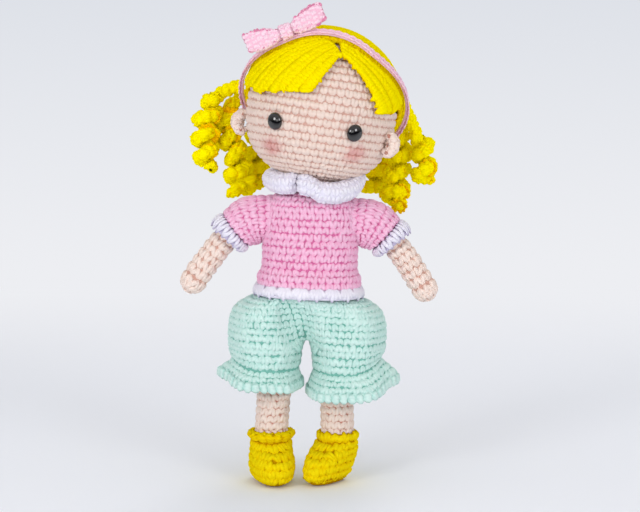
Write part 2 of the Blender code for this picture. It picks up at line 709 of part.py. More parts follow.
def make_collar(torso, finishes):
    """A rippled collar lying on the shoulders, open where its two ends meet at the front."""
    steps, rows = 40, 3
    upper, lower = [], []
    for row in range(rows):
        share = row / (rows - 1)
        radius = COLLAR_INNER_RADIUS + COLLAR_WIDTH * share
        for k in range(steps + 1):
            around = COLLAR_OPENING_AZIMUTH + COLLAR_OPENING + (360 - 2 * COLLAR_OPENING) * k / steps
            ripple = COLLAR_RIPPLE * share * math.cos(2 * math.pi * COLLAR_WAVES * k / steps)
            a = math.radians(around)
            height = COLLAR_HEIGHT - COLLAR_FALL * share * share - ripple
            point = Vector((radius * math.sin(a), -radius * math.cos(a), height))
            upper.append(point)
            lower.append(point - Vector((0, 0, TRIM_THICKNESS)))
    mesh_piece("collar", *slab(upper, lower, rows, steps + 1), torso, finishes["white"])


def bezier(controls, share):
    rest = 1 - share
    a, b, c, d = controls
    return a * rest ** 3 + b * (3 * rest * rest * share) + c * (3 * rest * share * share) + d * share ** 3


def bezier_slope(controls, share):
    rest = 1 - share
    a, b, c, d = controls
    return ((b - a) * rest * rest + (c - b) * (2 * rest * share) + (d - c) * share * share).normalized()


def arm_controls(side):
    start = BODY_HALF_WIDTH + FIT_GAP - SHOULDER_HALF_SPAN
    flat = ((start, 0), (ARM_STRAIGHT, 0), (ELBOW_REACH, -ELBOW_DROP), (HAND_REACH, -HAND_DROP))
    return [Vector((side * x, 0, z)) for x, z in flat]


def arm_ring(side, share, radius, count, beyond=0.0, upright=False):
    """A ring round the arm's path, square to it or upright; beyond moves it on along the path."""
    controls = arm_controls(side)
    along = Vector((side, 0, 0)) if upright else bezier_slope(controls, share)
    middle = bezier(controls, share) + along * beyond
    across = Vector((0, 1, 0))
    up = along.cross(across)
    return [middle + across * x + up * y for x, y in oval(radius, radius, count)]


def arm_skin_rings(side, inset):
    """The arm from shoulder to hand, at a depth under its skin, ending in a round hand."""
    rings = []
    for k in range(ARM_RINGS):
        share = k / (ARM_RINGS - 1)
        radius = ARM_RADIUS + (HAND_RADIUS - ARM_RADIUS) * smooth_step(share) - inset
        rings.append(arm_ring(side, share, radius, ARM_SEGMENTS))
    for angle in (30, 58, 80):
        a = math.radians(angle)
        radius = HAND_RADIUS - inset
        rings.append(arm_ring(side, 1.0, radius * math.cos(a), ARM_SEGMENTS, radius * math.sin(a)))
    return rings


def share_at_root(side, reach):
    """Share of the arm's path at a distance out from the shoulder's pivot plane."""
    low, high = 0.0, 0.5
    for _ in range(40):
        middle = (low + high) / 2
        if side * bezier(arm_controls(side), middle).x < reach:
            low = middle
        else:
            high = middle
    return low


def make_arm(side, arm, finishes):
    """Arm skin open at the shoulder, its stuffing, a puffed sleeve and a cuff at its end."""
    name = SIDE_NAMES[side]
    outer = arm_skin_rings(side, 0.0)
    inner = arm_skin_rings(side, SKIN_THICKNESS)
    mesh_piece(f"arm_skin_{name}", *loft(outer[::-1] + inner), arm, finishes["skin"])
    fill = arm_skin_rings(side, SKIN_THICKNESS + FIT_GAP)
    mesh_piece(f"arm_stuffing_{name}", *loft(fill), arm, finishes["stuffing"])

    root = share_at_root(side, 0.0)
    outside, inside = [], []
    steps = 5
    for k in range(steps + 1):
        share = k / steps
        puff = math.sin(math.pi * share)
        radius = (SLEEVE_ROOT_RADIUS * (1 - share) + SLEEVE_END_RADIUS * share
                  + (SLEEVE_PUFF_RADIUS - (SLEEVE_ROOT_RADIUS + SLEEVE_END_RADIUS) / 2) * puff)
        place = root + (SLEEVE_SHARE - root) * share
        for rings, size in ((outside, radius), (inside, radius - SHIRT_THICKNESS)):
            rings.append(arm_ring(side, place, size, SLEEVE_SEGMENTS, upright=k == 0))
    mesh_piece(f"sleeve_{name}", *loft(outside + inside[::-1], capped=False), arm, finishes["pink"])

    rounding = TRIM_THICKNESS / 4
    loops = [arm_ring(side, SLEEVE_SHARE, SLEEVE_END_RADIUS, SLEEVE_SEGMENTS, FIT_GAP),
             arm_ring(side, (SLEEVE_SHARE + CUFF_SHARE) / 2, CUFF_RADIUS, SLEEVE_SEGMENTS),
             arm_ring(side, CUFF_SHARE, CUFF_RADIUS - rounding, SLEEVE_SEGMENTS),
             arm_ring(side, CUFF_SHARE, CUFF_RADIUS - TRIM_THICKNESS, SLEEVE_SEGMENTS),
             arm_ring(side, SLEEVE_SHARE, SLEEVE_END_RADIUS - TRIM_THICKNESS, SLEEVE_SEGMENTS, FIT_GAP)]
    mesh_piece(f"cuff_{name}", *loft(loops, capped=False), arm, finishes["white"])


def ankle_aside(side):
    return RIGHT_ANKLE_ASIDE if side == RIGHT else LEFT_ANKLE_ASIDE


def hip_place(side):
    return TORSO_FRAME @ Vector((side * HIP_HALF_SPAN, 0, BODY_BOTTOM_HEIGHT - FIT_GAP - LEG_RADIUS))


def leg_ring(side, height, half_width, toe, heel, power=2.0):
    """A level ring round the leg's axis, in the hip's frame, turned as the foot is turned."""
    hip = hip_place(side)
    share = (hip.z - max(height, BOOT_HEIGHT)) / (hip.z - BOOT_HEIGHT)
    aside = hip.x + (ankle_aside(side) - hip.x) * share
    turned_foot = turn(RIGHT_FOOT_TURN if side == RIGHT else LEFT_FOOT_TURN, "Z")
    ring = []
    for x, y in oval(half_width, 1.0, LEG_SEGMENTS, power):
        point = turned_foot @ Vector((x, y * (toe if y < 0 else heel), 0))
        ring.append(point + Vector((aside, hip.y, height)) - hip)
    return ring


def boot_rings(side, inset, floor):
    """The boot's outline at a depth inside it, from the sole up to the ankle."""
    rings = []
    for height, toe, heel, width in BOOT_PROFILE_SHARES:
        level = max(height * BOOT_HEIGHT, floor)
        rings.append(leg_ring(side, level, BOOT_HALF_WIDTH * width - inset, BOOT_TOE_REACH * toe - inset,
                              BOOT_HEEL_REACH * heel - inset, BOOT_POWER))
        if height == 0 and floor > BOOT_PROFILE_SHARES[1][0] * BOOT_HEIGHT:
            rings.pop()
    return rings


def make_leg(side, leg, finishes):
    """Leg skin with its foot, stuffing, a stiff insole and a boot with a rolled rim."""
    name = SIDE_NAMES[side]
    shaft = BOOT_HEIGHT * BOOT_SHAFT_SHARE
    hip_height = hip_place(side).z
    radius = LEG_RADIUS + LOOSE_GAP + BOOT_THICKNESS

    def round_ring(height, size):
        return leg_ring(side, height, size, size, size)

    outside = boot_rings(side, 0.0, 0.0) + [round_ring(shaft, radius), round_ring(BOOT_HEIGHT, radius),
                                            round_ring(BOOT_HEIGHT + BOOT_RIM_ROLL, radius + BOOT_RIM_ROLL)]
    bore = radius - BOOT_THICKNESS
    inside = boot_rings(side, BOOT_THICKNESS, BOOT_THICKNESS) + [round_ring(shaft, bore),
                                                                 round_ring(BOOT_HEIGHT, bore)]
    inside.append(round_ring(BOOT_HEIGHT + 2 * BOOT_RIM_ROLL, bore + BOOT_RIM_ROLL))
    mesh_piece(f"boot_{name}", *loft(outside + inside[::-1]), leg, finishes["boot"])

    def leg_layer(inset, floor):
        foot = boot_rings(side, BOOT_THICKNESS + LOOSE_GAP + inset, floor)
        size = LEG_RADIUS - inset
        rings = foot + [round_ring(shaft, size), round_ring(BOOT_HEIGHT, size), round_ring(hip_height, size)]
        opening = math.degrees(math.acos(LEG_HOLE_RADIUS / LEG_RADIUS))
        for angle in (opening * 0.5, opening):
            a = math.radians(angle)
            rings.append(round_ring(hip_height + size * math.sin(a), size * math.cos(a)))
        return rings

    skin_floor = BOOT_THICKNESS + FIT_GAP
    inner_floor = skin_floor + SKIN_THICKNESS
    outer = leg_layer(0.0, skin_floor)
    inner = leg_layer(SKIN_THICKNESS, inner_floor)
    mesh_piece(f"leg_skin_{name}", *loft(outer + inner[::-1]), leg, finishes["skin"])
    insole_low = inner_floor + FIT_GAP
    inset = BOOT_THICKNESS + 2 * LOOSE_GAP + SKIN_THICKNESS
    _, toe, heel, width = BOOT_PROFILE_SHARES[1]
    plates = [leg_ring(side, level, BOOT_HALF_WIDTH * width - inset, BOOT_TOE_REACH * toe - inset,
                       BOOT_HEEL_REACH * heel - inset, BOOT_POWER)
              for level in (insole_low, insole_low + INSOLE_THICKNESS)]
    mesh_piece(f"insole_{name}", *loft(plates), leg, finishes["card"])
    fill_floor = insole_low + INSOLE_THICKNESS + FIT_GAP
    fill = leg_layer(SKIN_THICKNESS + FIT_GAP, fill_floor)
    mesh_piece(f"leg_stuffing_{name}", *loft(fill), leg, finishes["stuffing"])


def shorts_leg_ring(side, height, half_width, half_depth, flare, ripple):
    """One ring of a shorts leg, numbered round from the crotch side, front first."""
    ring = []
    frill_lift = RIGHT_FRILL_LIFT if side == RIGHT else LEFT_FRILL_LIFT
    lift = frill_lift * min(max((CROTCH_HEIGHT - height) / (CROTCH_HEIGHT - GATHER_HEIGHT), 0), 1)
    for k in range(SHORTS_LEG_SEGMENTS):
        angle = 2 * math.pi * k / SHORTS_LEG_SEGMENTS
        inward = math.cos(angle)
        room = 1 - max(inward, 0) ** 4
        wave = ripple * math.cos(FRILL_WAVES * angle)
        width = half_width + (flare + wave) * room
        depth = half_depth + flare + wave
        level = height + lift * max(-inward, 0) ** 2
        ring.append(Vector((side * (SHORTS_LEG_ASIDE - width * inward), -depth * math.sin(angle), level)))
    return ring


def waist_point(side, k, height, outline, share, bulge):
    """A point between the crotch outline and the waistband, for one ring corner of one side."""
    band_width = BODY_HALF_WIDTH * BODY_PROFILE_SHARES[2][1] + FIT_GAP + SHORTS_THICKNESS
    band_depth = BODY_HALF_DEPTH * BODY_PROFILE_SHARES[2][2] + FIT_GAP + SHORTS_THICKNESS
    half = CROTCH_SEGMENTS // 2
    free = SHORTS_LEG_SEGMENTS - CROTCH_SEGMENTS
    along = (k - half + 0.5) / (free + 1)
    a = math.pi * along
    c, s = math.cos(a), math.sin(a)
    width = band_width * abs(s) ** (2 / TORSO_POWER)
    depth = band_depth * math.copysign(abs(c) ** (2 / TORSO_POWER), c)
    waist = Vector((side * width, -depth, height))
    swell = SHORTS_LEG_HALF_WIDTH * bulge
    lower = Vector((outline.x, outline.y, height))
    point = lower.lerp(waist, share)
    out = Vector((side * s, -c, 0))
    return point + out * swell


def make_shorts(torso, finishes):
    """Full shorts: legs, crotch and waist as one surface, given its thickness inwards."""
    count, half = SHORTS_LEG_SEGMENTS, CROTCH_SEGMENTS // 2
    depth = SHORTS_HALF_DEPTH
    width = SHORTS_LEG_HALF_WIDTH
    frill_rise = GATHER_HEIGHT - HEM_HEIGHT
    levels = (
        (HEM_HEIGHT, GATHER_SHARE, FRILL_FLARE, FRILL_RIPPLE),
        (HEM_HEIGHT + frill_rise * 0.35, GATHER_SHARE, FRILL_FLARE * 0.9, FRILL_RIPPLE * 0.9),
        (HEM_HEIGHT + frill_rise * 0.75, GATHER_SHARE, FRILL_FLARE * 0.35, FRILL_RIPPLE * 0.4),
        (GATHER_HEIGHT, GATHER_SHARE, 0.0, 0.0),
        ((GATHER_HEIGHT + CROTCH_HEIGHT) / 2, (1 + GATHER_SHARE) / 2, 0.0, FRILL_RIPPLE * 0.25),
        (CROTCH_HEIGHT, 1.0, 0.0, FRILL_RIPPLE * 0.3),
    )
    points, faces = [], []
    tops = {}
    for side in (RIGHT, LEFT):
        rings = [shorts_leg_ring(side, height, width * share, depth * share, flare, ripple)
                 for height, share, flare, ripple in levels]
        base = len(points)
        points += [point for ring in rings for point in ring]
        for level in range(len(rings) - 1):
            for i in range(count):
                a, b = base + level * count + i, base + level * count + (i + 1) % count
                faces.append((a, b, b + count, a + count)[::side])
        tops[side] = base + (len(rings) - 1) * count

    for k in range(-half, half):
        right = [tops[RIGHT] + (k + step) % count for step in (0, 1)]
        left = [tops[LEFT] + (k + step) % count for step in (0, 1)]
        faces.append((left[0], left[1], right[1], right[0]))

    order = [(LEFT, k) for k in range(half, count - half + 1)]
    order += [(RIGHT, k) for k in range(count - half, half - 1, -1)]
    below = [tops[side] + k % count for side, k in order]
    outline = [points[corner] for corner in below]
    band_low = SHIRT_HEM_HEIGHT - TRIM_DROP
    rise = [(CROTCH_HEIGHT + (band_low - CROTCH_HEIGHT) * share, drawn, bulge)
            for share, drawn, bulge in SHORTS_RISE_SHARES]
    rise += [(band_low, 1.0, 0.0), (SHIRT_HEM_HEIGHT + WAIST_TUCK, 1.0, 0.0)]
    for height, share, bulge in rise:
        base = len(points)
        for (side, k), corner in zip(order, outline):
            points.append(waist_point(side, k, height, corner, share, bulge))
        above = list(range(base, len(points)))
        for i in range(len(order)):
            j = (i + 1) % len(order)
            faces.append((below[i], below[j], above[j], above[i]))
        below = above
    shorts = mesh_piece("shorts", points, faces, torso, finishes["mint"], closed=False)
    thicken = shorts.modifiers.new("fabric", "SOLIDIFY")
    thicken.thickness = SHORTS_THICKNESS
    thicken.offset = -1
    thicken.use_even_offset = True


def curl_path(start, heading, pull, tip):
    """The smooth line that a curl winds about: out of its root, then hanging to its tip."""
    down = Vector((0, 0, -1))
    controls = (start, start + heading * pull, tip - down * CURL_TIP_PULL, tip)
    fine = [bezier(controls, k / 300) for k in range(301)]
    reach = [0.0]
    for k in range(1, len(fine)):
        reach.append(reach[-1] + (fine[k] - fine[k - 1]).length)
    return fine, reach


def curl_points(start, heading, pull, tip, phase):
    """Points of a corkscrew strand: a round root, one straight diameter, then the turns."""
    fine, reach = curl_path(start, heading, pull, tip)
    straight = 2 * CURL_STRAND_RADIUS
    length = reach[-1]
    turns = (length - straight) / CURL_PITCH
    steps = round(turns * CURL_POINTS_PER_TURN)
    stations = [straight * share for share in CURL_STRAIGHT_SHARES]
    stations += [straight + (length - straight) * k / steps for k in range(steps + 1)]
    across = heading.cross(Vector((0, 1, 0))).normalized()
    points = [start - heading * (CURL_STRAND_RADIUS * back) for back, _ in CURL_ROOT_SHARES]
    radii = [thin for _, thin in CURL_ROOT_SHARES]
    k = 0
    for station in stations:
        while k < len(reach) - 2 and reach[k + 1] < station:
            k += 1
        share = (station - reach[k]) / (reach[k + 1] - reach[k])
        middle = fine[k].lerp(fine[k + 1], share)
        along = (fine[k + 1] - fine[k]).normalized()
        across = (across - along * across.dot(along)).normalized()
        beside = along.cross(across)
        wound = max(station - straight, 0)
        swing = CURL_HELIX_RADIUS * smooth_step(wound / CURL_PITCH)
        angle = phase + 2 * math.pi * wound / CURL_PITCH
        points.append(middle + across * (swing * math.cos(angle)) + beside * (swing * math.sin(angle)))
        radii.append(1.0)
    radii[-2:] = CURL_TIP_SHARES
    return points, radii


def least_self_gap(points):
    """Least gap between stretches of one strand that lie half a turn or more apart along it."""
    half_turn = math.hypot(math.pi * CURL_HELIX_RADIUS, CURL_PITCH / 2)
    reach = [0.0]
    for one, two in zip(points, points[1:]):
        reach.append(reach[-1] + (two - one).length)
    nearest = min((points[i] - points[j]).length for i in range(len(points)) for j in range(i)
                  if reach[i] - reach[j] > 0.98 * half_turn)
    return nearest - 2 * CURL_STRAND_RADIUS


def cap_root(azimuth, elevation):
    """A root on the cap's outside, standing straight out: its ball's centre and heading."""
    out = face_direction(azimuth, elevation)
    return head_point(out, HAIR_SEAT + HAIR_THICKNESS + FIT_GAP + CURL_STRAND_RADIUS), out


def make_curls(head, finishes):
    """Four bunches of two curls; each bunch swings about the line through its two roots."""
    least = []
    joints = {}
    for side, bunches in ((RIGHT, RIGHT_CURL_SHARES), (LEFT, LEFT_CURL_SHARES)):
        for bunch, rows in bunches.items():
            roots = []
            for _, place, _, _ in rows:
                root, heading = cap_root(*place)
                roots.append((HEAD_FRAME @ root, (HEAD_FRAME.to_3x3() @ heading).normalized()))
            hinge = roots[0][0]
            axis = (roots[1][0] - roots[0][0]).normalized() * -side
            joints[f"{bunch}_{SIDE_NAMES[side]}"] = (hinge, axis)
            carrier = frame_empty(f"curls_{bunch}_{SIDE_NAMES[side]}_pivot", Matrix.Translation(hinge), head)
            for k, ((label, _, pull, reach), (root, heading)) in enumerate(zip(rows, roots)):
                tip = root + CURL_DROP * Vector((side * reach[0], reach[1], -reach[2]))
                points, radii = curl_points(root - hinge, heading, CURL_DROP * pull, tip - hinge, math.pi * k)
                least.append(least_self_gap(points))
                cord_piece(f"curl_{bunch}_{label}_{SIDE_NAMES[side]}", points, CURL_STRAND_RADIUS,
                           carrier, finishes["hair"], radii)
    print(f"least gap between a curl's own turns: {min(least) / MM:.2f} mm")
    return joints


def make_finishes():
    rows = (("skin", SKIN_COLOUR, 0.95), ("hair", HAIR_COLOUR, 0.9), ("pink", PINK_COLOUR, 0.95),
            ("pale_pink", PALE_PINK_COLOUR, 0.95), ("mint", MINT_COLOUR, 0.95), ("white", WHITE_COLOUR, 0.95),
            ("boot", BOOT_COLOUR, 0.95), ("black", BLACK_COLOUR, 0.1), ("stuffing", STUFFING_COLOUR, 1.0),
            ("card", CARD_COLOUR, 0.8))
    return {name: material(name, colour, roughness) for name, colour, roughness in rows}


def print_joint(name, place, axis):
    spot = ", ".join(f"{value:.5f}" for value in place)
    line = ", ".join(f"{value:.5f}" for value in axis)
    print(f"joint {name}: at ({spot}) about ({line})")


def build():
    clear_scene()
    finishes = make_finishes()
    torso = frame_empty("torso", TORSO_FRAME)
    make_body(torso, finishes)
    make_shirt(torso, finishes)
    make_hem_trim(torso, finishes)
    make_collar(torso, finishes)
    make_shorts(torso, finishes)

    head = frame_empty("head", HEAD_FRAME, torso)
    print_joint("head_turn", HEAD_FRAME.translation, HEAD_FRAME.col[2].xyz)
    make_head(head, finishes)
    make_hair_cap(head, finishes)
    for label, seams, rim in (("right", RIGHT_FRINGE_SEAMS, RIGHT_FRINGE_RIM),
                              ("left", LEFT_FRINGE_SEAMS, LEFT_FRINGE_RIM)):
        lines = fringe_seam_lines(seams, rim, FRINGE_STEPS)
        for k in range(len(lines) - 1):
            make_fringe(f"fringe_{label}_{k + 1}", lines[k], lines[k + 1], head, finishes)
    make_headband(head, finishes)
    make_bow(head, finishes)
    for name, (place, axis) in make_curls(head, finishes).items():
        print_joint(f"curls_{name}_swing", place, axis)

    for side in (RIGHT, LEFT):
        shoulder = TORSO_FRAME @ Matrix.Translation((side * SHOULDER_HALF_SPAN, 0, SHOULDER_HEIGHT))
        arm = frame_empty(f"arm_{SIDE_NAMES[side]}", shoulder, torso)
        make_arm(side, arm, finishes)
        print_joint(f"arm_{SIDE_NAMES[side]}_swing", shoulder.translation, shoulder.col[0].xyz)
        leg = frame_empty(f"leg_{SIDE_NAMES[side]}", Matrix.Translation(hip_place(side)), torso)
        make_leg(side, leg, finishes)
        print_joint(f"leg_{SIDE_NAMES[side]}_swing", hip_place(side), (1, 0, 0))
    bpy.context.view_layer.update()


build()
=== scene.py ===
# %% [markdown]
# # A crocheted doll, stitch by stitch
#
# The doll is a stuffed toy of cotton yarn. Almost nothing on it is smooth: each surface is rows of small
# knots, and each knot is a strand that comes out of the row below, lies on the surface for a few
# millimetres and goes in again. A picture of stitches wrapped on smooth shapes would look flat at the
# outline, so here each stitch is a real pair of short strands, placed row by row on the doll's shapes.
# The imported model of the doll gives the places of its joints, and all sizes below are millimetres.

# %% Load the fixed frame
import json
import math

import bpy
import numpy as np
from mathutils import Matrix, Vector, noise


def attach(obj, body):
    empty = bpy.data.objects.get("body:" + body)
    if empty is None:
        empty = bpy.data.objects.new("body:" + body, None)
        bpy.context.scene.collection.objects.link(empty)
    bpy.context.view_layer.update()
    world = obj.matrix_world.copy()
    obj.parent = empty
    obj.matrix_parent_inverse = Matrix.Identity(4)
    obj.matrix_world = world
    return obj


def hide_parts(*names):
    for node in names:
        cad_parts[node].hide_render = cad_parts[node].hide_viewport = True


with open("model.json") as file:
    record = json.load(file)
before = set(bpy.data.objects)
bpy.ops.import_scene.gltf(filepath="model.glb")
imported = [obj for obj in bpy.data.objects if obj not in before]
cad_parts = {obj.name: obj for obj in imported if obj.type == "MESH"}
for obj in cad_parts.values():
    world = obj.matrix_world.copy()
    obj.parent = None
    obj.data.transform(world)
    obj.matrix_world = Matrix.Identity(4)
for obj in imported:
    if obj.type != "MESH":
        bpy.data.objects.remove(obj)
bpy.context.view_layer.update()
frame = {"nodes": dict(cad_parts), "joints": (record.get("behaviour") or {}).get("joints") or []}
joints = {joint["name"]: joint for joint in frame["joints"]}
chance = np.random.default_rng(11)
MM = 0.001
print("joints:", ", ".join(joints))

# %% [markdown]
# ## Colours and node trees
#
# Colours are written as sRGB hex values, as a paint or yarn chart gives them, and one function turns
# them into the linear values that shaders work with. One more function adds a node, sets it up and links
# it, so that a material reads as a short list of what its surface does.

# %% Helpers for colours and nodes
def linear(written):
    """A written sRGB colour as linear red, green, blue and alpha."""
    channels = [int(written[k:k + 2], 16) / 255 for k in (0, 2, 4)]
    return (*[c / 12.92 if c <= 0.04045 else ((c + 0.055) / 1.055) ** 2.4 for c in channels], 1.0)


def add(tree, kind, inputs=None, **settings):
    """One node with its settings; each input is a value or the socket that feeds it."""
    node = tree.nodes.new(kind)
    for name, value in settings.items():
        setattr(node, name, value)
    for name, value in (inputs or {}).items():
        if isinstance(value, bpy.types.NodeSocket):
            tree.links.new(value, node.inputs[name])
        else:
            node.inputs[name].default_value = value
    return node


def new_material(name, roughness, specular):
    """An empty finish with the gloss that is the same all over it, its tree and its shader."""
    finish = bpy.data.materials.new(name)
    finish.use_nodes = True
    shader = finish.node_tree.nodes["Principled BSDF"]
    shader.inputs["Roughness"].default_value = roughness
    shader.inputs["Specular IOR Level"].default_value = specular
    print(f"material {name}: roughness {roughness}")
    return finish, finish.node_tree, shader


# %% [markdown]
# ## Studio: camera, floor and light
#
# The photograph was taken from about 0.8 m with a short telephoto lens, a little above the doll, against
# a pale sweep of paper. The paper is one bent sheet: near the doll it is a plain matt floor that takes
# the doll's shadow, and further back it fades to the pale blue-grey that is seen behind the doll. In
# front of the doll a reflection meets a dim studio, as it does behind a photographer, so the black eyes
# stay black.
#
# The light is soft and comes from all round: a softbox on each side in front, a weak fill near the floor,
# one lamp behind for the outline, and a sky that is brighter overhead, so that the undersides of the
# stitches stay a little darker. Together they are a plain level, at which a colour shows about as written.

# %% Camera
CAMERA_PLACE = (0.0055, -0.8099, 0.2000)
CAMERA_AIM = (0.0055, -0.0099, 0.11388)
CAMERA_LENS, SENSOR_WIDTH = 90.5, 36.0


def looking(place, aim):
    """The turn of a camera or lamp that stands at a place and looks at its aim."""
    return (Vector(aim) - Vector(place)).to_track_quat("-Z", "Y")


def make_camera():
    data = bpy.data.cameras.new("camera")
    data.lens = CAMERA_LENS
    data.sensor_width = SENSOR_WIDTH
    data.clip_start = 0.01
    camera = bpy.data.objects.new("camera", data)
    bpy.context.scene.collection.objects.link(camera)
    camera.location = CAMERA_PLACE
    camera.rotation_mode = "QUATERNION"
    camera.rotation_quaternion = looking(CAMERA_PLACE, CAMERA_AIM)
    bpy.context.scene.camera = camera
    print(f"camera: {CAMERA_LENS} mm lens, {math.dist(CAMERA_PLACE, CAMERA_AIM):.2f} m from its aim")


make_camera()

# %% Finish of the paper sweep
# The floor's own colour, and the glow seen behind the doll, low down and PAPER_RISE metres up: painted
# light in place of lit paper, darker higher up as painted shade
PAPER_FLOOR, PAPER_LOW, PAPER_HIGH, PAPER_RISE = "F4F6FC", "EDEEF2", "D3D8E1", 0.55
STUDIO_DARK = "3A3B40"
# Metres along Y over which the floor fades to those colours, and over which reflections turn dim
PAPER_FADE, STUDIO_FADE = (0.12, 0.75), (-0.15, -0.40)


def paper_finish():
    """Matt paper that takes light and shadow; far back, eyes and reflections see a glow instead."""
    finish, tree, shader = new_material("studio_paper", 0.95, 0.1)
    shader.inputs["Base Color"].default_value = linear(PAPER_FLOOR)
    place = add(tree, "ShaderNodeNewGeometry")
    axes = add(tree, "ShaderNodeSeparateXYZ", {"Vector": place.outputs["Position"]})
    height = add(tree, "ShaderNodeMapRange", {"Value": axes.outputs["Z"], "From Min": 0.0,
                                              "From Max": PAPER_RISE})
    shade = add(tree, "ShaderNodeMix", {"Factor": height.outputs["Result"], "A": linear(PAPER_LOW),
                                        "B": linear(PAPER_HIGH)}, data_type="RGBA")
    glow = add(tree, "ShaderNodeEmission", {"Color": shade.outputs["Result"]})
    rays = add(tree, "ShaderNodeLightPath")
    seen = add(tree, "ShaderNodeMath", {0: rays.outputs["Is Camera Ray"], 1: rays.outputs["Is Glossy Ray"]},
               operation="MAXIMUM")
    seen = add(tree, "ShaderNodeMath", {0: seen.outputs[0], 1: rays.outputs["Is Transmission Ray"]},
               operation="MAXIMUM")
    far = add(tree, "ShaderNodeMapRange", {"Value": axes.outputs["Y"], "From Min": PAPER_FADE[0],
                                           "From Max": PAPER_FADE[1]}, interpolation_type="SMOOTHSTEP")
    part = add(tree, "ShaderNodeMath", {0: seen.outputs[0], 1: far.outputs["Result"]}, operation="MULTIPLY")
    blend = add(tree, "ShaderNodeMixShader", {0: part.outputs[0], 1: shader.outputs[0],
                                              2: glow.outputs[0]})
    front = add(tree, "ShaderNodeMapRange", {"Value": axes.outputs["Y"], "From Min": STUDIO_FADE[0],
                                             "From Max": STUDIO_FADE[1]})
    front = add(tree, "ShaderNodeMath", {0: front.outputs["Result"], 1: rays.outputs["Is Glossy Ray"]},
                operation="MULTIPLY")
    dim = add(tree, "ShaderNodeEmission", {"Color": linear(STUDIO_DARK)})
    blend = add(tree, "ShaderNodeMixShader", {0: front.outputs[0], 1: blend.outputs[0], 2: dim.outputs[0]})
    tree.links.new(blend.outputs[0], tree.nodes["Material Output"].inputs["Surface"])
    return finish


# %% Paper sweep
PAPER_HALF_WIDTH, PAPER_FRONT, PAPER_BEND = 2.6, -1.6, 0.9
PAPER_RADIUS, PAPER_TOP, PAPER_STEPS = 0.6, 2.4, 12


def paper_profile():
    """Points (y, z) from the sweep's front edge, round its bend and up its wall."""
    arc = [math.radians(90 * k / PAPER_STEPS) for k in range(PAPER_STEPS + 1)]
    bend = [(PAPER_BEND + PAPER_RADIUS * math.sin(a), PAPER_RADIUS * (1 - math.cos(a))) for a in arc]
    return [(PAPER_FRONT, 0.0), *bend, (PAPER_BEND + PAPER_RADIUS, PAPER_TOP)]


def make_paper():
    profile = paper_profile()
    points = [(x, y, z) for y, z in profile for x in (-PAPER_HALF_WIDTH, PAPER_HALF_WIDTH)]
    faces = [(2 * k, 2 * k + 1, 2 * k + 3, 2 * k + 2) for k in range(len(profile) - 1)]
    data = bpy.data.meshes.new("paper_sweep")
    data.from_pydata(points, [], faces)
    data.shade_smooth()
    data.materials.append(paper_finish())
    paper = bpy.data.objects.new("paper_sweep", data)
    bpy.context.scene.collection.objects.link(paper)
    print(f"paper sweep: {len(faces)} faces")


make_paper()

# %% Sky
SKY_LOW, SKY_HIGH, SKY_RISE = 0.22, 0.66, 0.6


def make_sky():
    """White light from all round, from SKY_LOW at the horizon to SKY_HIGH well above it."""
    world = bpy.data.worlds.new("soft_sky")
    world.use_nodes = True
    sky = world.node_tree
    axes = add(sky, "ShaderNodeSeparateXYZ", {"Vector": add(sky, "ShaderNodeTexCoord").outputs["Generated"]})
    level = add(sky, "ShaderNodeMapRange", {"Value": axes.outputs["Z"], "From Min": 0.0,
                                            "From Max": SKY_RISE, "To Min": SKY_LOW, "To Max": SKY_HIGH})
    sky.nodes["Background"].inputs["Color"].default_value = linear("FFFFFF")
    sky.links.new(level.outputs["Result"], sky.nodes["Background"].inputs["Strength"])
    bpy.context.scene.world = world


make_sky()

# %% Lamps
# Each lamp's name, place in metres, width in metres and power in watts
LAMPS = (("softbox_right", (-0.76, -0.96, 0.46), 0.45, 4.7),
         ("softbox_left", (0.74, -0.98, 0.44), 0.45, 3.8),
         ("low_front", (-0.1, -1.25, 0.06), 0.8, 2.8),
         ("back", (0.3, 0.9, 1.1), 0.7, 3.3))
LAMP_AIM = (0, 0, 0.12)

for name, place, size, power in LAMPS:
    data = bpy.data.lights.new(name, "AREA")
    data.size = size
    data.energy = power
    lamp = bpy.data.objects.new(name, data)
    bpy.context.scene.collection.objects.link(lamp)
    lamp.location = place
    lamp.rotation_mode = "QUATERNION"
    lamp.rotation_quaternion = looking(place, LAMP_AIM)
    print(f"lamp {name}: {power} W")
bpy.context.scene.view_settings.view_transform = "Standard"

# %% [markdown]
# ## Cotton yarn
#
# Cotton yarn is matt with a faint sheen, and it is plied: three strands twist round each other, a turn
# every couple of millimetres. Light that gets between the stitches bounces off yarn several times, so the
# hollows look deeper and more saturated than the crowns. That shade is painted into the colour: the hollows
# get a deeper painted shade and the crowns the yarn's light colour, and the grooves of the plies are painted
# a little darker too. Each stitch carries two values on its points for this: relief, from 0 in the hollow
# to 1 on the crown, which sets the painted shade, and strand, with the distance along the yarn in
# millimetres, the turn round it and a chance value for the stitch. A picture of yarn would need no such
# values, but it would slide over the strands instead of twisting with them.

# %% Yarn materials
# One turn of the plies is about 2 mm on the real yarn; it is drawn a little longer, so that it shows
PLIES, PLY_PITCH = 3, 2.6
# A cotton fibre is 0.02 mm thick, too fine to show, so the fuzz is drawn as tufts of this many millimetres
FIBRE = 0.45
PLY_HEIGHT, PLY_DEPTH, PLY_BUMP = 0.3, 0.4, 0.35
# Matt all over: cotton scatters light, so it has no highlight to speak of
YARN_ROUGHNESS, SHEEN_ROUGHNESS = 0.86, 0.5
# What a stitch's chance value and its plies add to its place on the ramp, and what they add on average;
# the plies' and fibre tufts' share is painted shade in their grooves and lighter colour on their crowns
TONE_SHARE, PLY_SHADE_SHARE, MIDDLE_SHARE = 0.22, 0.30, 0.26
# Where the painted hollow shade, the middle colour and the light crown colour stand on the ramp
RAMP_SHADE, RAMP_MIDDLE, RAMP_LIGHT = 0.02, 0.42, 0.92


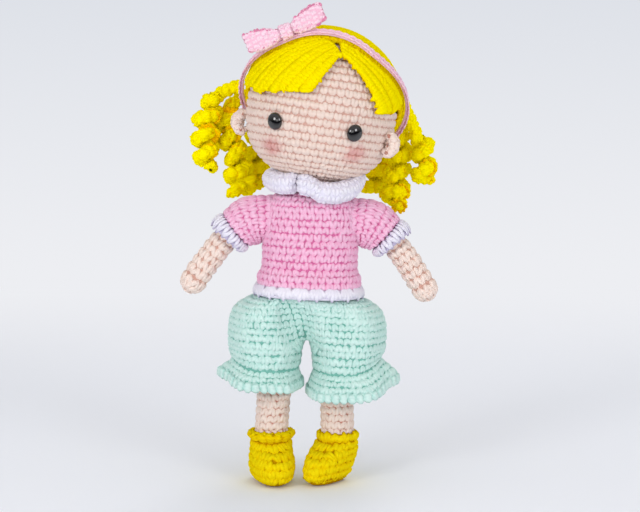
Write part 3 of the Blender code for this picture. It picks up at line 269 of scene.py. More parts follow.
def yarn(name, light, middle, hollow_shade, sheen=0.25, gloss=0.12, blush=None):
    """Cotton yarn from the colour of its crowns to a painted shade in its hollows."""
    finish, tree, shader = new_material(name, YARN_ROUGHNESS, gloss)
    shader.inputs["Sheen Weight"].default_value = sheen
    shader.inputs["Sheen Roughness"].default_value = SHEEN_ROUGHNESS
    shader.inputs["Sheen Tint"].default_value = linear(light)
    relief_shade = add(tree, "ShaderNodeAttribute", attribute_name="relief_shade")
    strand = add(tree, "ShaderNodeAttribute", attribute_name="strand")
    parts = add(tree, "ShaderNodeSeparateXYZ", {"Vector": strand.outputs["Vector"]})
    place = add(tree, "ShaderNodeTexCoord")
    fibre = add(tree, "ShaderNodeTexNoise", {"Vector": place.outputs["Object"], "Scale": 1 / (FIBRE * MM),
                                             "Detail": 3.0, "Roughness": 0.6})
    around = add(tree, "ShaderNodeMath", {0: parts.outputs["Y"], 1: 2 * math.pi * PLIES},
                 operation="MULTIPLY")
    twist = add(tree, "ShaderNodeMath", {0: parts.outputs["X"], 1: 2 * math.pi / PLY_PITCH,
                                         2: around.outputs[0]}, operation="MULTIPLY_ADD")
    ply = add(tree, "ShaderNodeMath", {0: twist.outputs[0]}, operation="SINE")
    rough = add(tree, "ShaderNodeMath", {0: ply.outputs[0], 1: PLY_HEIGHT, 2: fibre.outputs["Fac"]},
                operation="MULTIPLY_ADD")
    raised = add(tree, "ShaderNodeBump", {"Height": rough.outputs[0], "Strength": PLY_BUMP,
                                          "Distance": PLY_DEPTH * MM})
    # The painted shade: by relief, chance tone and plies, a point goes from the hollows' dark colour to the
    # crowns' light one
    level = add(tree, "ShaderNodeMath", {0: parts.outputs["Z"], 1: TONE_SHARE, 2: relief_shade.outputs["Fac"]},
                operation="MULTIPLY_ADD")
    level = add(tree, "ShaderNodeMath", {0: rough.outputs[0], 1: PLY_SHADE_SHARE, 2: level.outputs[0]},
                operation="MULTIPLY_ADD")
    level = add(tree, "ShaderNodeMath", {0: level.outputs[0], 1: MIDDLE_SHARE}, operation="SUBTRACT")
    ramp = add(tree, "ShaderNodeValToRGB", {"Fac": level.outputs[0]})
    ramp.color_ramp.elements[0].color = linear(hollow_shade)
    ramp.color_ramp.elements[0].position = RAMP_SHADE
    ramp.color_ramp.elements[1].color = linear(light)
    ramp.color_ramp.elements[1].position = RAMP_LIGHT
    ramp.color_ramp.elements.new(RAMP_MIDDLE).color = linear(middle)
    colour = ramp.outputs["Color"]
    for spot, radius in blush or ():
        colour = add_blush(tree, colour, place, spot, radius)
    tree.links.new(colour, shader.inputs["Base Color"])
    tree.links.new(raised.outputs["Normal"], shader.inputs["Normal"])
    return finish


# %% Rouge on the yarn
BLUSH_COLOUR, BLUSH_STRENGTH = "E07F8A", 0.52
# The spot is an oval, so distances to its middle are stretched; its patches are millimetres wide
BLUSH_STRETCH, BLUSH_PATCH = (1.0, 0.8, 1.35), 2.2
# Shares of the spot's radius: how far the patches push its edge, and where it starts and stops to fade
BLUSH_WANDER, BLUSH_FULL, BLUSH_GONE = 1.1, 0.7, 1.75


def add_blush(tree, colour, place, spot, radius):
    """Rouge rubbed on the yarn: strongest in the middle of the spot and patchy at its edge."""
    away = add(tree, "ShaderNodeVectorMath", {0: place.outputs["Object"], 1: spot}, operation="SUBTRACT")
    flat = add(tree, "ShaderNodeVectorMath", {0: away.outputs[0], 1: BLUSH_STRETCH}, operation="MULTIPLY")
    far = add(tree, "ShaderNodeVectorMath", {0: flat.outputs[0]}, operation="LENGTH")
    patch = add(tree, "ShaderNodeTexNoise", {"Vector": place.outputs["Object"],
                                             "Scale": 1 / (BLUSH_PATCH * MM), "Detail": 2.0})
    edge = add(tree, "ShaderNodeMath", {0: patch.outputs["Fac"], 1: radius * BLUSH_WANDER,
                                        2: far.outputs["Value"]}, operation="MULTIPLY_ADD")
    share = add(tree, "ShaderNodeMapRange", {"Value": edge.outputs[0], "From Min": radius * BLUSH_FULL,
                                             "From Max": radius * BLUSH_GONE, "To Min": BLUSH_STRENGTH,
                                             "To Max": 0.0}, interpolation_type="SMOOTHSTEP")
    mixed = add(tree, "ShaderNodeMix", {"Factor": share.outputs["Result"], "A": colour,
                                        "B": linear(BLUSH_COLOUR)}, data_type="RGBA", blend_type="MULTIPLY")
    return mixed.outputs["Result"]


# %% [markdown]
# ## Strands, stitches and rows
#
# A single crochet stitch shows two short strands side by side, which meet at the foot and spread at the
# top: a small V. Worked back and forth, every second row shows its other face instead, a low bump. A
# chain shows interlocked drops. Each of these is made once, as a small tile of tapered strands, and then
# laid on a surface at each stitch's place. A surface is a function of two shares, u round the row and v
# up the rows, that gives points, so rows can follow any shape. Rows are spaced by real length and each row
# gets as many stitches as its own length holds, which is what increases and decreases do in crochet.

# %% Curves and surfaces
def along(table, share):
    """Values at a share of the way through the rows of a table, on a smooth curve through them."""
    table = np.asarray(table, float)
    reach = np.clip(share, 0, 1) * (len(table) - 1)
    k = np.minimum(reach.astype(int), len(table) - 2)
    f = (reach - k)[..., None]
    a, b, c, d = (table[np.clip(k + step, 0, len(table) - 1)] for step in (-1, 0, 1, 2))
    return b + 0.5 * f * (c - a + f * (2 * a - 5 * b + 4 * c - d + f * (3 * (b - c) + d - a)))


def placed(points, matrix):
    """Points, in millimetres, moved by a 4 by 4 matrix."""
    return points @ matrix[:3, :3].T + matrix[:3, 3]


def unit(vectors):
    return vectors / np.maximum(np.linalg.norm(vectors, axis=-1, keepdims=True), 1e-9)


def turned(degrees, axis):
    """A 4 by 4 matrix that turns about an axis."""
    return np.array(Matrix.Rotation(math.radians(degrees), 4, axis))


def moved(x, y, z):
    """A 4 by 4 matrix that moves by millimetres."""
    return np.array(Matrix.Translation((x, y, z)))


def smooth_step(share):
    share = np.clip(share, 0, 1)
    return share * share * (3 - 2 * share)


def axes_at(surface, u, v, half_row=0.01):
    """Places on a surface with the directions across the row, up the rows and out of the surface."""
    step = 0.002
    low, high = np.clip(v - half_row, 0, 1), np.clip(v + half_row, 0, 1)
    across = surface(u + step, v) - surface(u - step, v)
    rise = surface(u, high) - surface(u, low)
    out = unit(np.cross(across, rise))
    across = unit(across)
    return surface(u, v), across, np.cross(out, across), out, np.linalg.norm(rise, axis=-1)


# %% Rows of stitches
# How finely a surface is measured: samples up it, round it and along one row
SAMPLES_UP, SAMPLES_ROUND, SAMPLES_ROW = 81, 16, 97
# An open strip is measured this far in from its two edges, as a share of its width
OPEN_EDGE = 0.03


def lay_rows(surface, width, height, span=(0.0, 1.0), closed=True, lean=0.13, keep=None):
    """Where each stitch of each row lies, with its own width and height."""
    v = np.linspace(*span, SAMPLES_UP)
    u = np.linspace(0, 1, SAMPLES_ROUND + 1)[:-1] if closed else np.linspace(OPEN_EDGE, 1 - OPEN_EDGE, 9)
    grid = surface(u[:, None] + 0 * v, v + 0 * u[:, None])
    reach = np.concatenate([[0], np.cumsum(np.linalg.norm(np.diff(grid, axis=1), axis=-1).mean(0))])
    rows = max(1, round(reach[-1] / height))
    edges = np.interp(np.arange(rows + 1) / rows * reach[-1], reach, v)
    columns = []
    for row in range(rows):
        middle = (edges[row] + edges[row + 1]) / 2
        fine = np.linspace(0, 1, SAMPLES_ROW)
        ring = surface(fine, np.full(SAMPLES_ROW, middle))
        length = np.concatenate([[0], np.cumsum(np.linalg.norm(np.diff(ring, axis=0), axis=-1))])
        count = max(3 if closed else 1, round(length[-1] / width))
        first = (0.5 + lean * row) % 1 if closed else 0.5
        where = np.interp((np.arange(count) + first) / count * length[-1], length, fine)
        half = np.full(count, (edges[row + 1] - edges[row]) / 2)
        columns.append((where, np.full(count, middle), half, np.full(count, length[-1] / count),
                        np.full(count, row)))
    u, v, half, wide, row = (np.concatenate(column) for column in zip(*columns))
    place, across, up, out, tall = axes_at(surface, u, v, half)
    spots = {"place": place, "across": across, "up": up, "out": out, "wide": wide, "tall": tall, "row": row}
    return only(spots, keep(place)) if keep else spots


def only(spots, chosen):
    """The chosen ones of the spots."""
    return {name: values[chosen] for name, values in spots.items()}


# %% Strands
RINGS, SIDES = 5, 6
# Each ring's share of the radius, how far the rings stop short of the ends, and how far the tips stand out
ROUNDING_SHARES, RING_MARGIN, TIP_REACH = (0.62, 0.95, 1.0, 0.95, 0.62), 0.06, 0.7
# A strand lies on the work, so its section is a little flat
FLATNESS = 0.72


def strand(controls):
    """A tapered strand through rows of x, y, z and radius: points, quads, triangles and strand values."""
    share = np.linspace(RING_MARGIN, 1 - RING_MARGIN, RINGS)
    path = along(controls, share)
    middle, radius = path[:, :3], path[:, 3] * np.array(ROUNDING_SHARES)
    heading = unit(np.gradient(middle, axis=0))
    side = unit(np.cross(heading, (0, 0, 1)))
    top = np.cross(side, heading)
    angle = 2 * np.pi * np.arange(SIDES) / SIDES
    cos, sin = np.cos(angle)[None, :, None], np.sin(angle)[None, :, None]
    rim = cos * side[:, None] + FLATNESS * sin * top[:, None]
    points = (middle[:, None] + rim * radius[:, None, None]).reshape(-1, 3)
    ends = [middle[0] - heading[0] * radius[0] * TIP_REACH, middle[-1] + heading[-1] * radius[-1] * TIP_REACH]
    length = np.concatenate([[0], np.cumsum(np.linalg.norm(np.diff(middle, axis=0), axis=-1))])
    values = np.stack([np.repeat(length, SIDES), np.tile(angle / (2 * np.pi), RINGS)], 1)
    values = np.concatenate([values, [(0, 0), (length[-1], 0)]])
    quads, caps = [], []
    for i in range(SIDES):
        j = (i + 1) % SIDES
        quads += [(k * SIDES + i, k * SIDES + SIDES + i, k * SIDES + SIDES + j, k * SIDES + j)
                  for k in range(RINGS - 1)]
        last = (RINGS - 1) * SIDES
        caps += [(RINGS * SIDES, i, j), (RINGS * SIDES + 1, last + j, last + i)]
    return np.concatenate([points, ends]), np.array(quads), np.array(caps), values


# %% Stitch tiles
# Heights in the tile where relief is 0 and 1, in shares of the yarn's thickness; relief sets the painted
# shade
RELIEF_LOW, RELIEF_HIGH = -0.42, 0.70
SKIN_STITCH = (4.2, 4.0)


def tile(*paths, thick=2.0, size=SKIN_STITCH):
    """A stitch: each path has x and y in shares of the stitch, and z and radius in shares of the yarn."""
    parts, base = [], 0
    for path in paths:
        points, quads, caps, values = strand(np.array(path) * (*size, thick, thick))
        parts.append((points, quads + base, caps + base, values))
        base += len(points)
    points, quads, caps, values = (np.concatenate(column) for column in zip(*parts))
    # The strand's height sets its painted shade: low points get the hollows' dark colour
    relief_shade = np.clip((points[:, 2] / thick - RELIEF_LOW) / (RELIEF_HIGH - RELIEF_LOW), 0, 1)
    print(f"stitch of {len(paths)} strands, {size} mm: {2 * len(quads) + len(caps)} triangles")
    return {"points": points, "quads": quads, "caps": caps, "values": values, "relief_shade": relief_shade,
            "wide": size[0], "tall": size[1]}


def mirrored(path, lean=0.0):
    """The path's twin on the stitch's other side, with both leaning as a worked stitch does."""
    return ([(x + lean * y, y, z, r) for x, y, z, r in path],
            [(-x + lean * y, y, z, r) for x, y, z, r in path])


# %% Shapes of the strands
# The left strand of an even V, and both strands of the uneven ones, which meet or cross at the foot. A
# row is x, y, z and radius, from foot to top. PLUMP fills its place like knobs, HEART is broad and
# rounded, and DROP is half a chain's link.
V_LEG = ((-0.05, -0.66, -0.85, 0.30), (-0.12, -0.36, -0.05, 0.46), (-0.235, 0.0, 0.26, 0.53),
         (-0.27, 0.32, 0.06, 0.48), (-0.22, 0.60, -0.65, 0.32))
PLUMP_LEFT = ((0.04, -0.64, -0.70, 0.30), (-0.05, -0.42, -0.06, 0.50), (-0.20, -0.12, 0.14, 0.72),
              (-0.29, 0.20, 0.12, 0.78), (-0.33, 0.50, -0.32, 0.58))
PLUMP_RIGHT = ((0.07, -0.66, -0.70, 0.30), (0.10, -0.42, -0.04, 0.50), (0.19, -0.12, 0.17, 0.72),
               (0.23, 0.20, 0.15, 0.78), (0.20, 0.51, -0.32, 0.58))
HEART_LEFT = ((0.08, -0.72, -0.70, 0.34), (-0.02, -0.45, -0.03, 0.57), (-0.18, -0.06, 0.14, 0.69),
              (-0.32, 0.28, 0.12, 0.69), (-0.44, 0.58, -0.32, 0.52))
HEART_RIGHT = ((0.02, -0.74, -0.70, 0.34), (0.10, -0.45, -0.03, 0.57), (0.22, -0.04, 0.18, 0.69),
               (0.33, 0.29, 0.14, 0.69), (0.40, 0.59, -0.32, 0.52))
DROP_LEG = ((-0.02, -0.85, -0.30, 0.26), (-0.20, -0.42, 0.06, 0.36), (-0.34, 0.05, 0.12, 0.40),
            (-0.24, 0.48, 0.04, 0.36), (-0.03, 0.78, -0.22, 0.28))


# %% Laying stitches
# What the wander of a stitch means for its turn, in radians, and for its depth, in millimetres
TURN_WANDER, DEPTH_WANDER = 2.4, 0.7


def lay(spots, stitch, sink=1.1, wander=0.05, flip=False, grow=1.0):
    """A tile at each spot, each a little different, sunk so that its crown is just above the surface."""
    count = len(spots["place"])
    slip = chance.normal(0, wander, (count, 4))
    turn = slip[:, 0] * TURN_WANDER + (math.pi if flip else 0.0)
    cos, sin = np.cos(turn)[:, None], np.sin(turn)[:, None]
    across = spots["across"] * cos + spots["up"] * sin
    up = spots["up"] * cos - spots["across"] * sin
    wide = spots["wide"] * grow * (1 + slip[:, 1]) / stitch["wide"]
    tall = spots["tall"] * grow * (1 + slip[:, 2]) / stitch["tall"]
    x, y, z = stitch["points"].T
    place = spots["place"] + spots["out"] * (slip[:, 3:4] * DEPTH_WANDER - sink)
    points = (place[:, None] + across[:, None] * (wide[:, None] * x)[..., None]
              + up[:, None] * (tall[:, None] * y)[..., None] + spots["out"][:, None] * z[:, None])
    size = len(x)
    base = (np.arange(count) * size)[:, None, None]
    tone = np.repeat(chance.random(count), size)[:, None]
    return {"points": points.reshape(-1, 3), "quads": (stitch["quads"] + base).reshape(-1, 4),
            "caps": (stitch["caps"] + base).reshape(-1, 3), "relief_shade": np.tile(stitch["relief_shade"], count),
            "values": np.concatenate([np.tile(stitch["values"], (count, 1)), tone], 1)}


# %% Ground under the stitches
def shell(surface, outer=-1.35, inner=-2.2, span=(0.0, 1.0), across=64, upward=32, closed=True, relief_shade=0.08):
    """The ground that the stitches stand on: a closed sheet between two depths under the surface, coloured
    with painted shade as set by its relief.
    """
    u = np.arange(across) / across if closed else np.linspace(0, 1, across)
    v = np.linspace(*span, upward)
    u, v = (part.ravel() for part in np.meshgrid(u, v))
    place, _, _, out, _ = axes_at(surface, u, v)
    count = across * upward
    points = np.concatenate([place + out * outer, place + out * inner])
    quads = []
    spans = across if closed else across - 1
    column = np.arange(spans)
    beside = (column + 1) % across
    for row in range(upward - 1):
        low, high = row * across, row * across + across
        quads.append(np.stack([low + column, low + beside, high + beside, high + column], 1))
        quads.append(np.stack([low + column, high + column, high + beside, low + beside], 1) + count)
    last = (upward - 1) * across
    quads.append(np.stack([column, column + count, beside + count, beside], 1))
    quads.append(np.stack([last + column, last + beside, last + beside + count, last + column + count], 1))
    if not closed:
        row = np.arange(upward - 1) * across
        end = row + across - 1
        quads.append(np.stack([row, row + across, row + across + count, row + count], 1))
        quads.append(np.stack([end, end + count, end + across + count, end + across], 1))
    values = np.zeros((2 * count, 3))
    values[:, 2] = 0.5
    return {"points": points, "quads": np.concatenate(quads), "caps": np.zeros((0, 3), int),
            "relief_shade": np.full(2 * count, relief_shade), "values": values}


# %% Turning parts into a piece
def piece(name, parts, finish, body, slot, *nodes):
    """One mesh object from several parts, riding on its body in place of the named solids."""
    starts = np.cumsum([0] + [len(part["points"]) for part in parts])
    kinds = ("quads", "caps")
    loops = [(part[kind] + start).ravel() for part, start in zip(parts, starts) for kind in kinds]
    sizes = [np.full(len(part[kind]), part[kind].shape[1]) for part in parts for kind in kinds]
    loops, sizes = np.concatenate(loops).astype(np.int32), np.concatenate(sizes)
    data = bpy.data.meshes.new(name)
    data.vertices.add(starts[-1])
    points = np.concatenate([part["points"] for part in parts]) * MM
    data.vertices.foreach_set("co", points.astype(np.float32).ravel())
    data.loops.add(len(loops))
    data.loops.foreach_set("vertex_index", loops)
    data.polygons.add(len(sizes))
    data.polygons.foreach_set("loop_start", np.concatenate([[0], np.cumsum(sizes)[:-1]]).astype(np.int32))
    data.update(calc_edges=True)
    data.shade_smooth()
    relief_shade = data.attributes.new("relief_shade", "FLOAT", "POINT")
    relief_shade.data.foreach_set("value", np.concatenate([p["relief_shade"] for p in parts]).astype(np.float32))
    values = np.concatenate([p["values"] for p in parts]).astype(np.float32)
    strands = data.attributes.new("strand", "FLOAT_VECTOR", "POINT")
    strands.data.foreach_set("vector", values.ravel())
    data.materials.append(finish)
    made = bpy.data.objects.new(name, data)
    bpy.context.scene.collection.objects.link(made)
    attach(made, body)
    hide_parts(*nodes)
    print(f"{name}: {int((sizes - 2).sum())} triangles")
    return made


# %% [markdown]
# ## The head's shape
#
# The head is almost a ball, a little flatter under the chin, and it leans and turns on its neck. The
# neck joint's place and axis come from the frame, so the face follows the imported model. Directions on
# the head are an azimuth, 0 at the face and positive to the doll's left, and an elevation.

# %% Head frame and surface
HEAD_HALF_WIDTH, HEAD_HALF_DEPTH, HEAD_CROWN, HEAD_CHIN = 37.3, 36.2, 38.4, 34.5
# Above 2, the power makes the chin a little squarer than an ellipse
CHIN_POWER, HEAD_TURN = 2.4, -4.0
NECK_EDGE, CROWN_EDGE = -78, 88
neck = np.array(joints["head_turn"]["pos_m"]) / MM
neck_axis = joints["head_turn"]["axis"]
head_tilt = math.degrees(math.atan2(neck_axis[0], neck_axis[2]))
head_frame = moved(*neck) @ turned(head_tilt, "Y") @ turned(HEAD_TURN, "Z")
print(f"the head leans {head_tilt:.1f} and turns {HEAD_TURN} degrees")


def facing(azimuth, elevation):
    """Unit directions from the head's centre, in the head's own frame."""
    a, e = np.radians(azimuth), np.radians(elevation)
    return np.stack(np.broadcast_arrays(np.cos(e) * np.sin(a), -np.cos(e) * np.cos(a), np.sin(e)), -1)


def on_head(direction, rise=0.0):
    """Points on the head along unit directions, raised off its skin, in the world."""
    x, y, z = np.moveaxis(direction, -1, 0)
    flat = np.hypot(x / HEAD_HALF_WIDTH, y / HEAD_HALF_DEPTH)
    above = (flat ** 2 + (z / HEAD_CROWN) ** 2) ** -0.5
    below = (flat ** CHIN_POWER + (np.abs(z) / HEAD_CHIN) ** CHIN_POWER) ** (-1 / CHIN_POWER)
    reach = np.where(z >= 0, above, below) + rise
    return placed(direction * reach[..., None] + (0, 0, HEAD_CHIN), head_frame)


def head_direction(points):
    """Unit directions from the head's centre to points in the world."""
    return unit(placed(points, np.linalg.inv(head_frame)) - (0, 0, HEAD_CHIN))


def head_surface(u, v):
    """The head's skin, from the edge of the neck hole up to the crown."""
    return on_head(facing(360 * u + 180, NECK_EDGE + (CROWN_EDGE - NECK_EDGE) * v))


# %% [markdown]
# ## Where the hair begins
#
# The hair's front edge, its rim, runs from above the forehead down past the ears to the nape. The cap, the
# fringe and the headband all follow it and the face stops behind it, so it is described once: an angle
# round the head from the top, and how far the rim leans back from there.

# %% Rim of the hair
RIM_LEAN_TOP, RIM_LEAN_NAPE, RIM_TURN_START = -29.0, 58.0, 30.0


def rim_lean(around):
    """How far back the rim lies, in degrees, at an angle round the head from its top."""
    share = smooth_step((np.abs(around) - RIM_TURN_START) / (180 - 2 * RIM_TURN_START))
    return RIM_LEAN_TOP + (RIM_LEAN_NAPE - RIM_LEAN_TOP) * share


def rim_direction(around, inset=0.0):
    """Unit directions to the rim at angles round the head, or to a line behind it by an inset in degrees."""
    lean, a = np.radians(rim_lean(around) + inset), np.radians(around)
    return np.stack([np.sin(a) * np.cos(lean), np.sin(lean), np.cos(a) * np.cos(lean)], -1)


def before_rim(points, margin):
    """Which points lie in front of the rim, or less than a margin in degrees behind it."""
    x, y, z = np.moveaxis(head_direction(points), -1, 0)
    return np.degrees(np.arcsin(y)) < rim_lean(np.degrees(np.arctan2(x, z))) + margin


print(f"the rim leans {-RIM_LEAN_TOP} degrees forward at the top and {RIM_LEAN_NAPE} back at the nape")

# %% [markdown]
# ## Face
#
# The face is cream-pink single crochet in rounds, stitches about 4.2 mm wide and 4 mm tall. The cheeks
# are rouge rubbed onto the finished fabric, which sits on the crowns of the stitches and fades unevenly.
# The rouge is in the yarn's colour, not a patch on top, so it follows every stitch.

# %% Skin yarn and head
CHEEKS = ((-38.0, -31.0, 7.6), (38.5, -27.5, 7.6))
# Skin is worked this far, in degrees, behind the rim, so that no gap shows under the hair
SKIN_TUCK = 9.0
# Pale cotton: light passes through it, so the painted shade in its hollows is warm and not grey. The face's
# colours are the skin's painted a little darker, as painted shade, under the rouge
skin_tones, face_darkened_tones = ("F0DDD3", "E8CFC3", "BE8170"), ("E9D5CB", "E0C6BA", "B27263")
cheeks = [(on_head(facing(azimuth, elevation)) * MM, radius * MM) for azimuth, elevation, radius in CHEEKS]
face_yarn = yarn("rouged_darkened_skin_cotton", *face_darkened_tones, blush=cheeks)
skin_yarn = yarn("skin_cotton", *skin_tones)
vee = tile(*mirrored(V_LEG, lean=0.10))
plump_vee = tile(PLUMP_LEFT, PLUMP_RIGHT)
face_rows = lay_rows(head_surface, *SKIN_STITCH, keep=lambda p: before_rim(p, SKIN_TUCK))
head_fabric = piece("head_fabric", [shell(head_surface, -0.75, across=96, upward=60, relief_shade=0.22),
                                    lay(face_rows, plump_vee, sink=1.25, wander=0.065)],
                    face_yarn, "head", "skin_yarn", "head_skin")

# %% [markdown]
# ## Safety eyes
#
# A safety eye is a black dome with a stem that goes through the fabric and is held by a washer inside. It
# is acrylic moulded in a polished steel mould, so it is as smooth as glass and shows small sharp lights.
# It is a turned shape: one outline of radii and heights, carried round the stem's axis.

# %% Moulded black acrylic
def speckled(name, roughness, specular, size, colours, detail=2.0, bump=0.0, depth=0.0):
    """A finish that wanders between two colours in specks of a size in millimetres, raised if asked."""
    finish, tree, shader = new_material(name, roughness, specular)
    place = add(tree, "ShaderNodeTexCoord")
    speck = add(tree, "ShaderNodeTexNoise", {"Vector": place.outputs["Object"], "Scale": 1 / (size * MM),
                                             "Detail": detail})
    tint = add(tree, "ShaderNodeMix", {"Factor": speck.outputs["Fac"], "A": linear(colours[0]),
                                       "B": linear(colours[1])}, data_type="RGBA")
    tree.links.new(tint.outputs["Result"], shader.inputs["Base Color"])
    if bump:
        raised = add(tree, "ShaderNodeBump", {"Height": speck.outputs["Fac"], "Strength": bump,
                                              "Distance": depth * MM})
        tree.links.new(raised.outputs["Normal"], shader.inputs["Normal"])
    return finish


# Its index of refraction is the shader's own 1.5; a mould's polish leaves hardly any roughness
eye_gloss = speckled("moulded_black_acrylic", 0.03, 1.0, 3.0, ("050506", "0B0B0D"))

# %% Safety eyes
EYE_AZIMUTH, EYE_ELEVATION = 31.5, -10.8
EYE_RADIUS, EYE_DOME, EYE_STEM_RADIUS, EYE_STEM_LENGTH = 4.25, 2.7, 1.2, 8.0
# The straight rim under the dome, how much narrower than tall the eyes look, and the flat of their back
EYE_RIM, EYE_NARROW, EYE_BACK, EYE_SPOKES = 0.35, 0.93, 0.2, 40
FIT_GAP = 0.3


def head_seat(azimuth, elevation, rise):
    """A frame on the head's skin, with Z straight out and X to the doll's left, in the world."""
    out = facing(azimuth, elevation)
    side = unit(np.cross((0, 0, 1), out))
    local = np.eye(4)
    local[:3, :3] = np.stack([side, np.cross(out, side), out], 1)
    place = head_frame.copy()
    place[:3, 3] = on_head(out, rise)
    place[:3, :3] = head_frame[:3, :3] @ local[:3, :3]
    return place


def spun(profile, count, place):
    """A turned shape through radius and height pairs, as a part."""
    angle = 2 * np.pi * np.arange(count) / count
    rings = [np.stack([r * np.cos(angle), r * np.sin(angle), np.full(count, h)], 1) for r, h in profile]
    points = placed(np.concatenate(rings), place)
    column = np.arange(count)
    beside = (column + 1) % count
    quads = [np.stack([k * count + column, k * count + beside, (k + 1) * count + beside,
                       (k + 1) * count + column], 1) for k in range(len(profile) - 1)]
    values = np.zeros((len(points), 3))
    return {"points": points, "quads": np.concatenate(quads), "caps": np.zeros((0, 3), int),
            "relief_shade": np.full(len(points), 1.0), "values": values}


arc = np.radians(np.linspace(0, 89.9, 14))
dome = [(EYE_RADIUS * math.cos(a), EYE_RIM + EYE_DOME * math.sin(a)) for a in arc]
stem = [(0.02, -EYE_STEM_LENGTH), (EYE_STEM_RADIUS, -EYE_STEM_LENGTH), (EYE_STEM_RADIUS, -EYE_BACK),
        (EYE_RADIUS * 0.9, -EYE_BACK), (EYE_RADIUS, 0.0)]
for name, side in (("right", -1), ("left", 1)):
    seat = head_seat(side * EYE_AZIMUTH, EYE_ELEVATION, FIT_GAP) @ np.diag((EYE_NARROW, 1, 1, 1))
    piece(f"eye_dome_{name}", [spun(stem + dome, EYE_SPOKES, seat)], eye_gloss, "head", "eye_plastic",
          f"eye_{name}")
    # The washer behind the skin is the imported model's own, in the same plastic
    washer = frame["nodes"][f"eye_washer_{name}"].data.materials
    washer.clear()
    washer.append(eye_gloss)

# %% [markdown]
# ## Ears
#
# An ear is a short strip of a few stitches curled round to a C, with its ends sewn to the head and its
# hollow to the front. It is laid as rows of stitches round a bent tube.

# %% Tubes
def tube(path, radii, side):
    """A surface round a path of points: u round it and v along it; side is a direction across it."""
    path, radii = np.asarray(path, float), np.asarray(radii, float)

    def surface(u, v):
        u, v = np.broadcast_arrays(np.asarray(u, float), np.asarray(v, float))
        middle = along(path, v)
        heading = unit(along(path, v + 0.01) - along(path, v - 0.01))
        across = unit(np.cross(heading, np.cross(side, heading)))
        beside = np.cross(heading, across)
        a = 2 * np.pi * u[..., None]
        size = along(radii[:, None], v)
        return middle + (across * np.cos(a) + beside * np.sin(a)) * size

    return surface


def sideways(spots):
    """The same spots with each stitch turned to run along its row."""
    return {**spots, "across": -spots["up"], "up": spots["across"], "wide": spots["tall"],
            "tall": spots["wide"]}


# %% Ears
# The ear's C: its radius, the strip's own radius, how much of a circle it is, and its seat on the head
EAR_CURL_RADIUS, EAR_STRIP_RADIUS, EAR_ARC = 3.7, 2.8, 230.0
EAR_ELEVATION, EAR_RISE = -16.0, 0.6
EAR_AZIMUTHS = {"right": -83.5, "left": 70.0}
EAR_TAPER = np.array([0.5, 0.9] + [1.0] * 9 + [0.9, 0.5])
EAR_ROW = (3.3, 2.7)
ear_vee = tile(PLUMP_LEFT, PLUMP_RIGHT, thick=1.9, size=(3.4, 3.4))
for name, azimuth in EAR_AZIMUTHS.items():
    out = facing(azimuth, 0)
    centre = facing(azimuth, EAR_ELEVATION)
    middle = placed(on_head(centre, EAR_RISE), np.linalg.inv(head_frame))
    angles = np.radians(np.linspace(-EAR_ARC / 2, EAR_ARC / 2, len(EAR_TAPER)))
    bend = np.maximum(EAR_CURL_RADIUS * np.cos(angles), 0)[:, None] * out
    path = placed(middle + bend + EAR_CURL_RADIUS * np.sin(angles)[:, None] * np.array((0, 0, 1)), head_frame)
    ear = tube(path, EAR_STRIP_RADIUS * EAR_TAPER, head_frame[:3, :3] @ np.cross(out, (0, 0, 1)))
    stitches = lay(sideways(lay_rows(ear, *EAR_ROW, lean=0.5)), ear_vee, sink=1.0, wander=0.05)
    piece(f"ear_{name}_fabric", [shell(ear, -0.6, -1.2, across=16, upward=24, relief_shade=0.35), stitches],
          skin_yarn, "head", "skin_yarn", f"ear_{name}")

# %% [markdown]
# ## Hair
#
# The hair is a crocheted cap like a swimming cap, with strips of fringe sewn over its front edge and eight
# corkscrew curls at its sides and back. The yarn is a strong yellow, and its hollows are painted an
# orange-gold shade.
# It has no sheen here: on so bright a colour it would only wash the yellow out.

# %% Cap
# The rounds of the cap close at this height on the back of the head, and 0.99 leaves them a small eye
CAP_POLE_ELEVATION, CAP_SPAN = 28.0, 0.99
HAIR_SEAT, HAIR_THICKNESS = 0.9, 3.6


def between(one, two, share):
    """Directions part of the way round from one to another."""
    angle = np.arccos(np.clip((one * two).sum(-1, keepdims=True), -1, 1))
    return (one * np.sin((1 - share) * angle) + two * np.sin(share * angle)) / np.maximum(np.sin(angle), 1e-6)


def cap_surface(u, v):
    """The cap's outer face, from its thin edge at the rim back to its pole."""
    u, v = np.broadcast_arrays(np.asarray(u, float), np.asarray(v, float))
    share = 1 - CAP_SPAN * v
    lift = HAIR_SEAT + HAIR_THICKNESS * np.minimum(1, 0.55 + 6 * v)
    around = (360 * u) % 360 - 180
    return on_head(between(facing(180, CAP_POLE_ELEVATION), rim_direction(around), share[..., None]), lift)


# Lemon crowns with a painted gold shade in the hollows: yellow yarn keeps its colour in the shade
hair_tones = ("F6E400", "F1D800", "DFA400")
hair_yarn = yarn("hair_cotton", *hair_tones, sheen=0.0, gloss=0.0)
cap = [shell(cap_surface, -0.5, -2.4, across=96, upward=40, relief_shade=0.3),
       lay(lay_rows(cap_surface, *SKIN_STITCH), plump_vee, sink=1.35)]
piece("hair_cap_fabric", cap, hair_yarn, "head", "hair_yarn", "hair_cap")

# %% [markdown]
# ## Fringe
#
# Seven strips lie side by side from the parting down to the temples. Two neighbours share a seam, so the
# seams are what is set down: each is a great circle on the head from a place near the parting to its tip.
# A strip fills the room between two seams, a touch higher in the middle than where it is sewn, and its
# rows run along it as on a strip that is worked lengthwise.

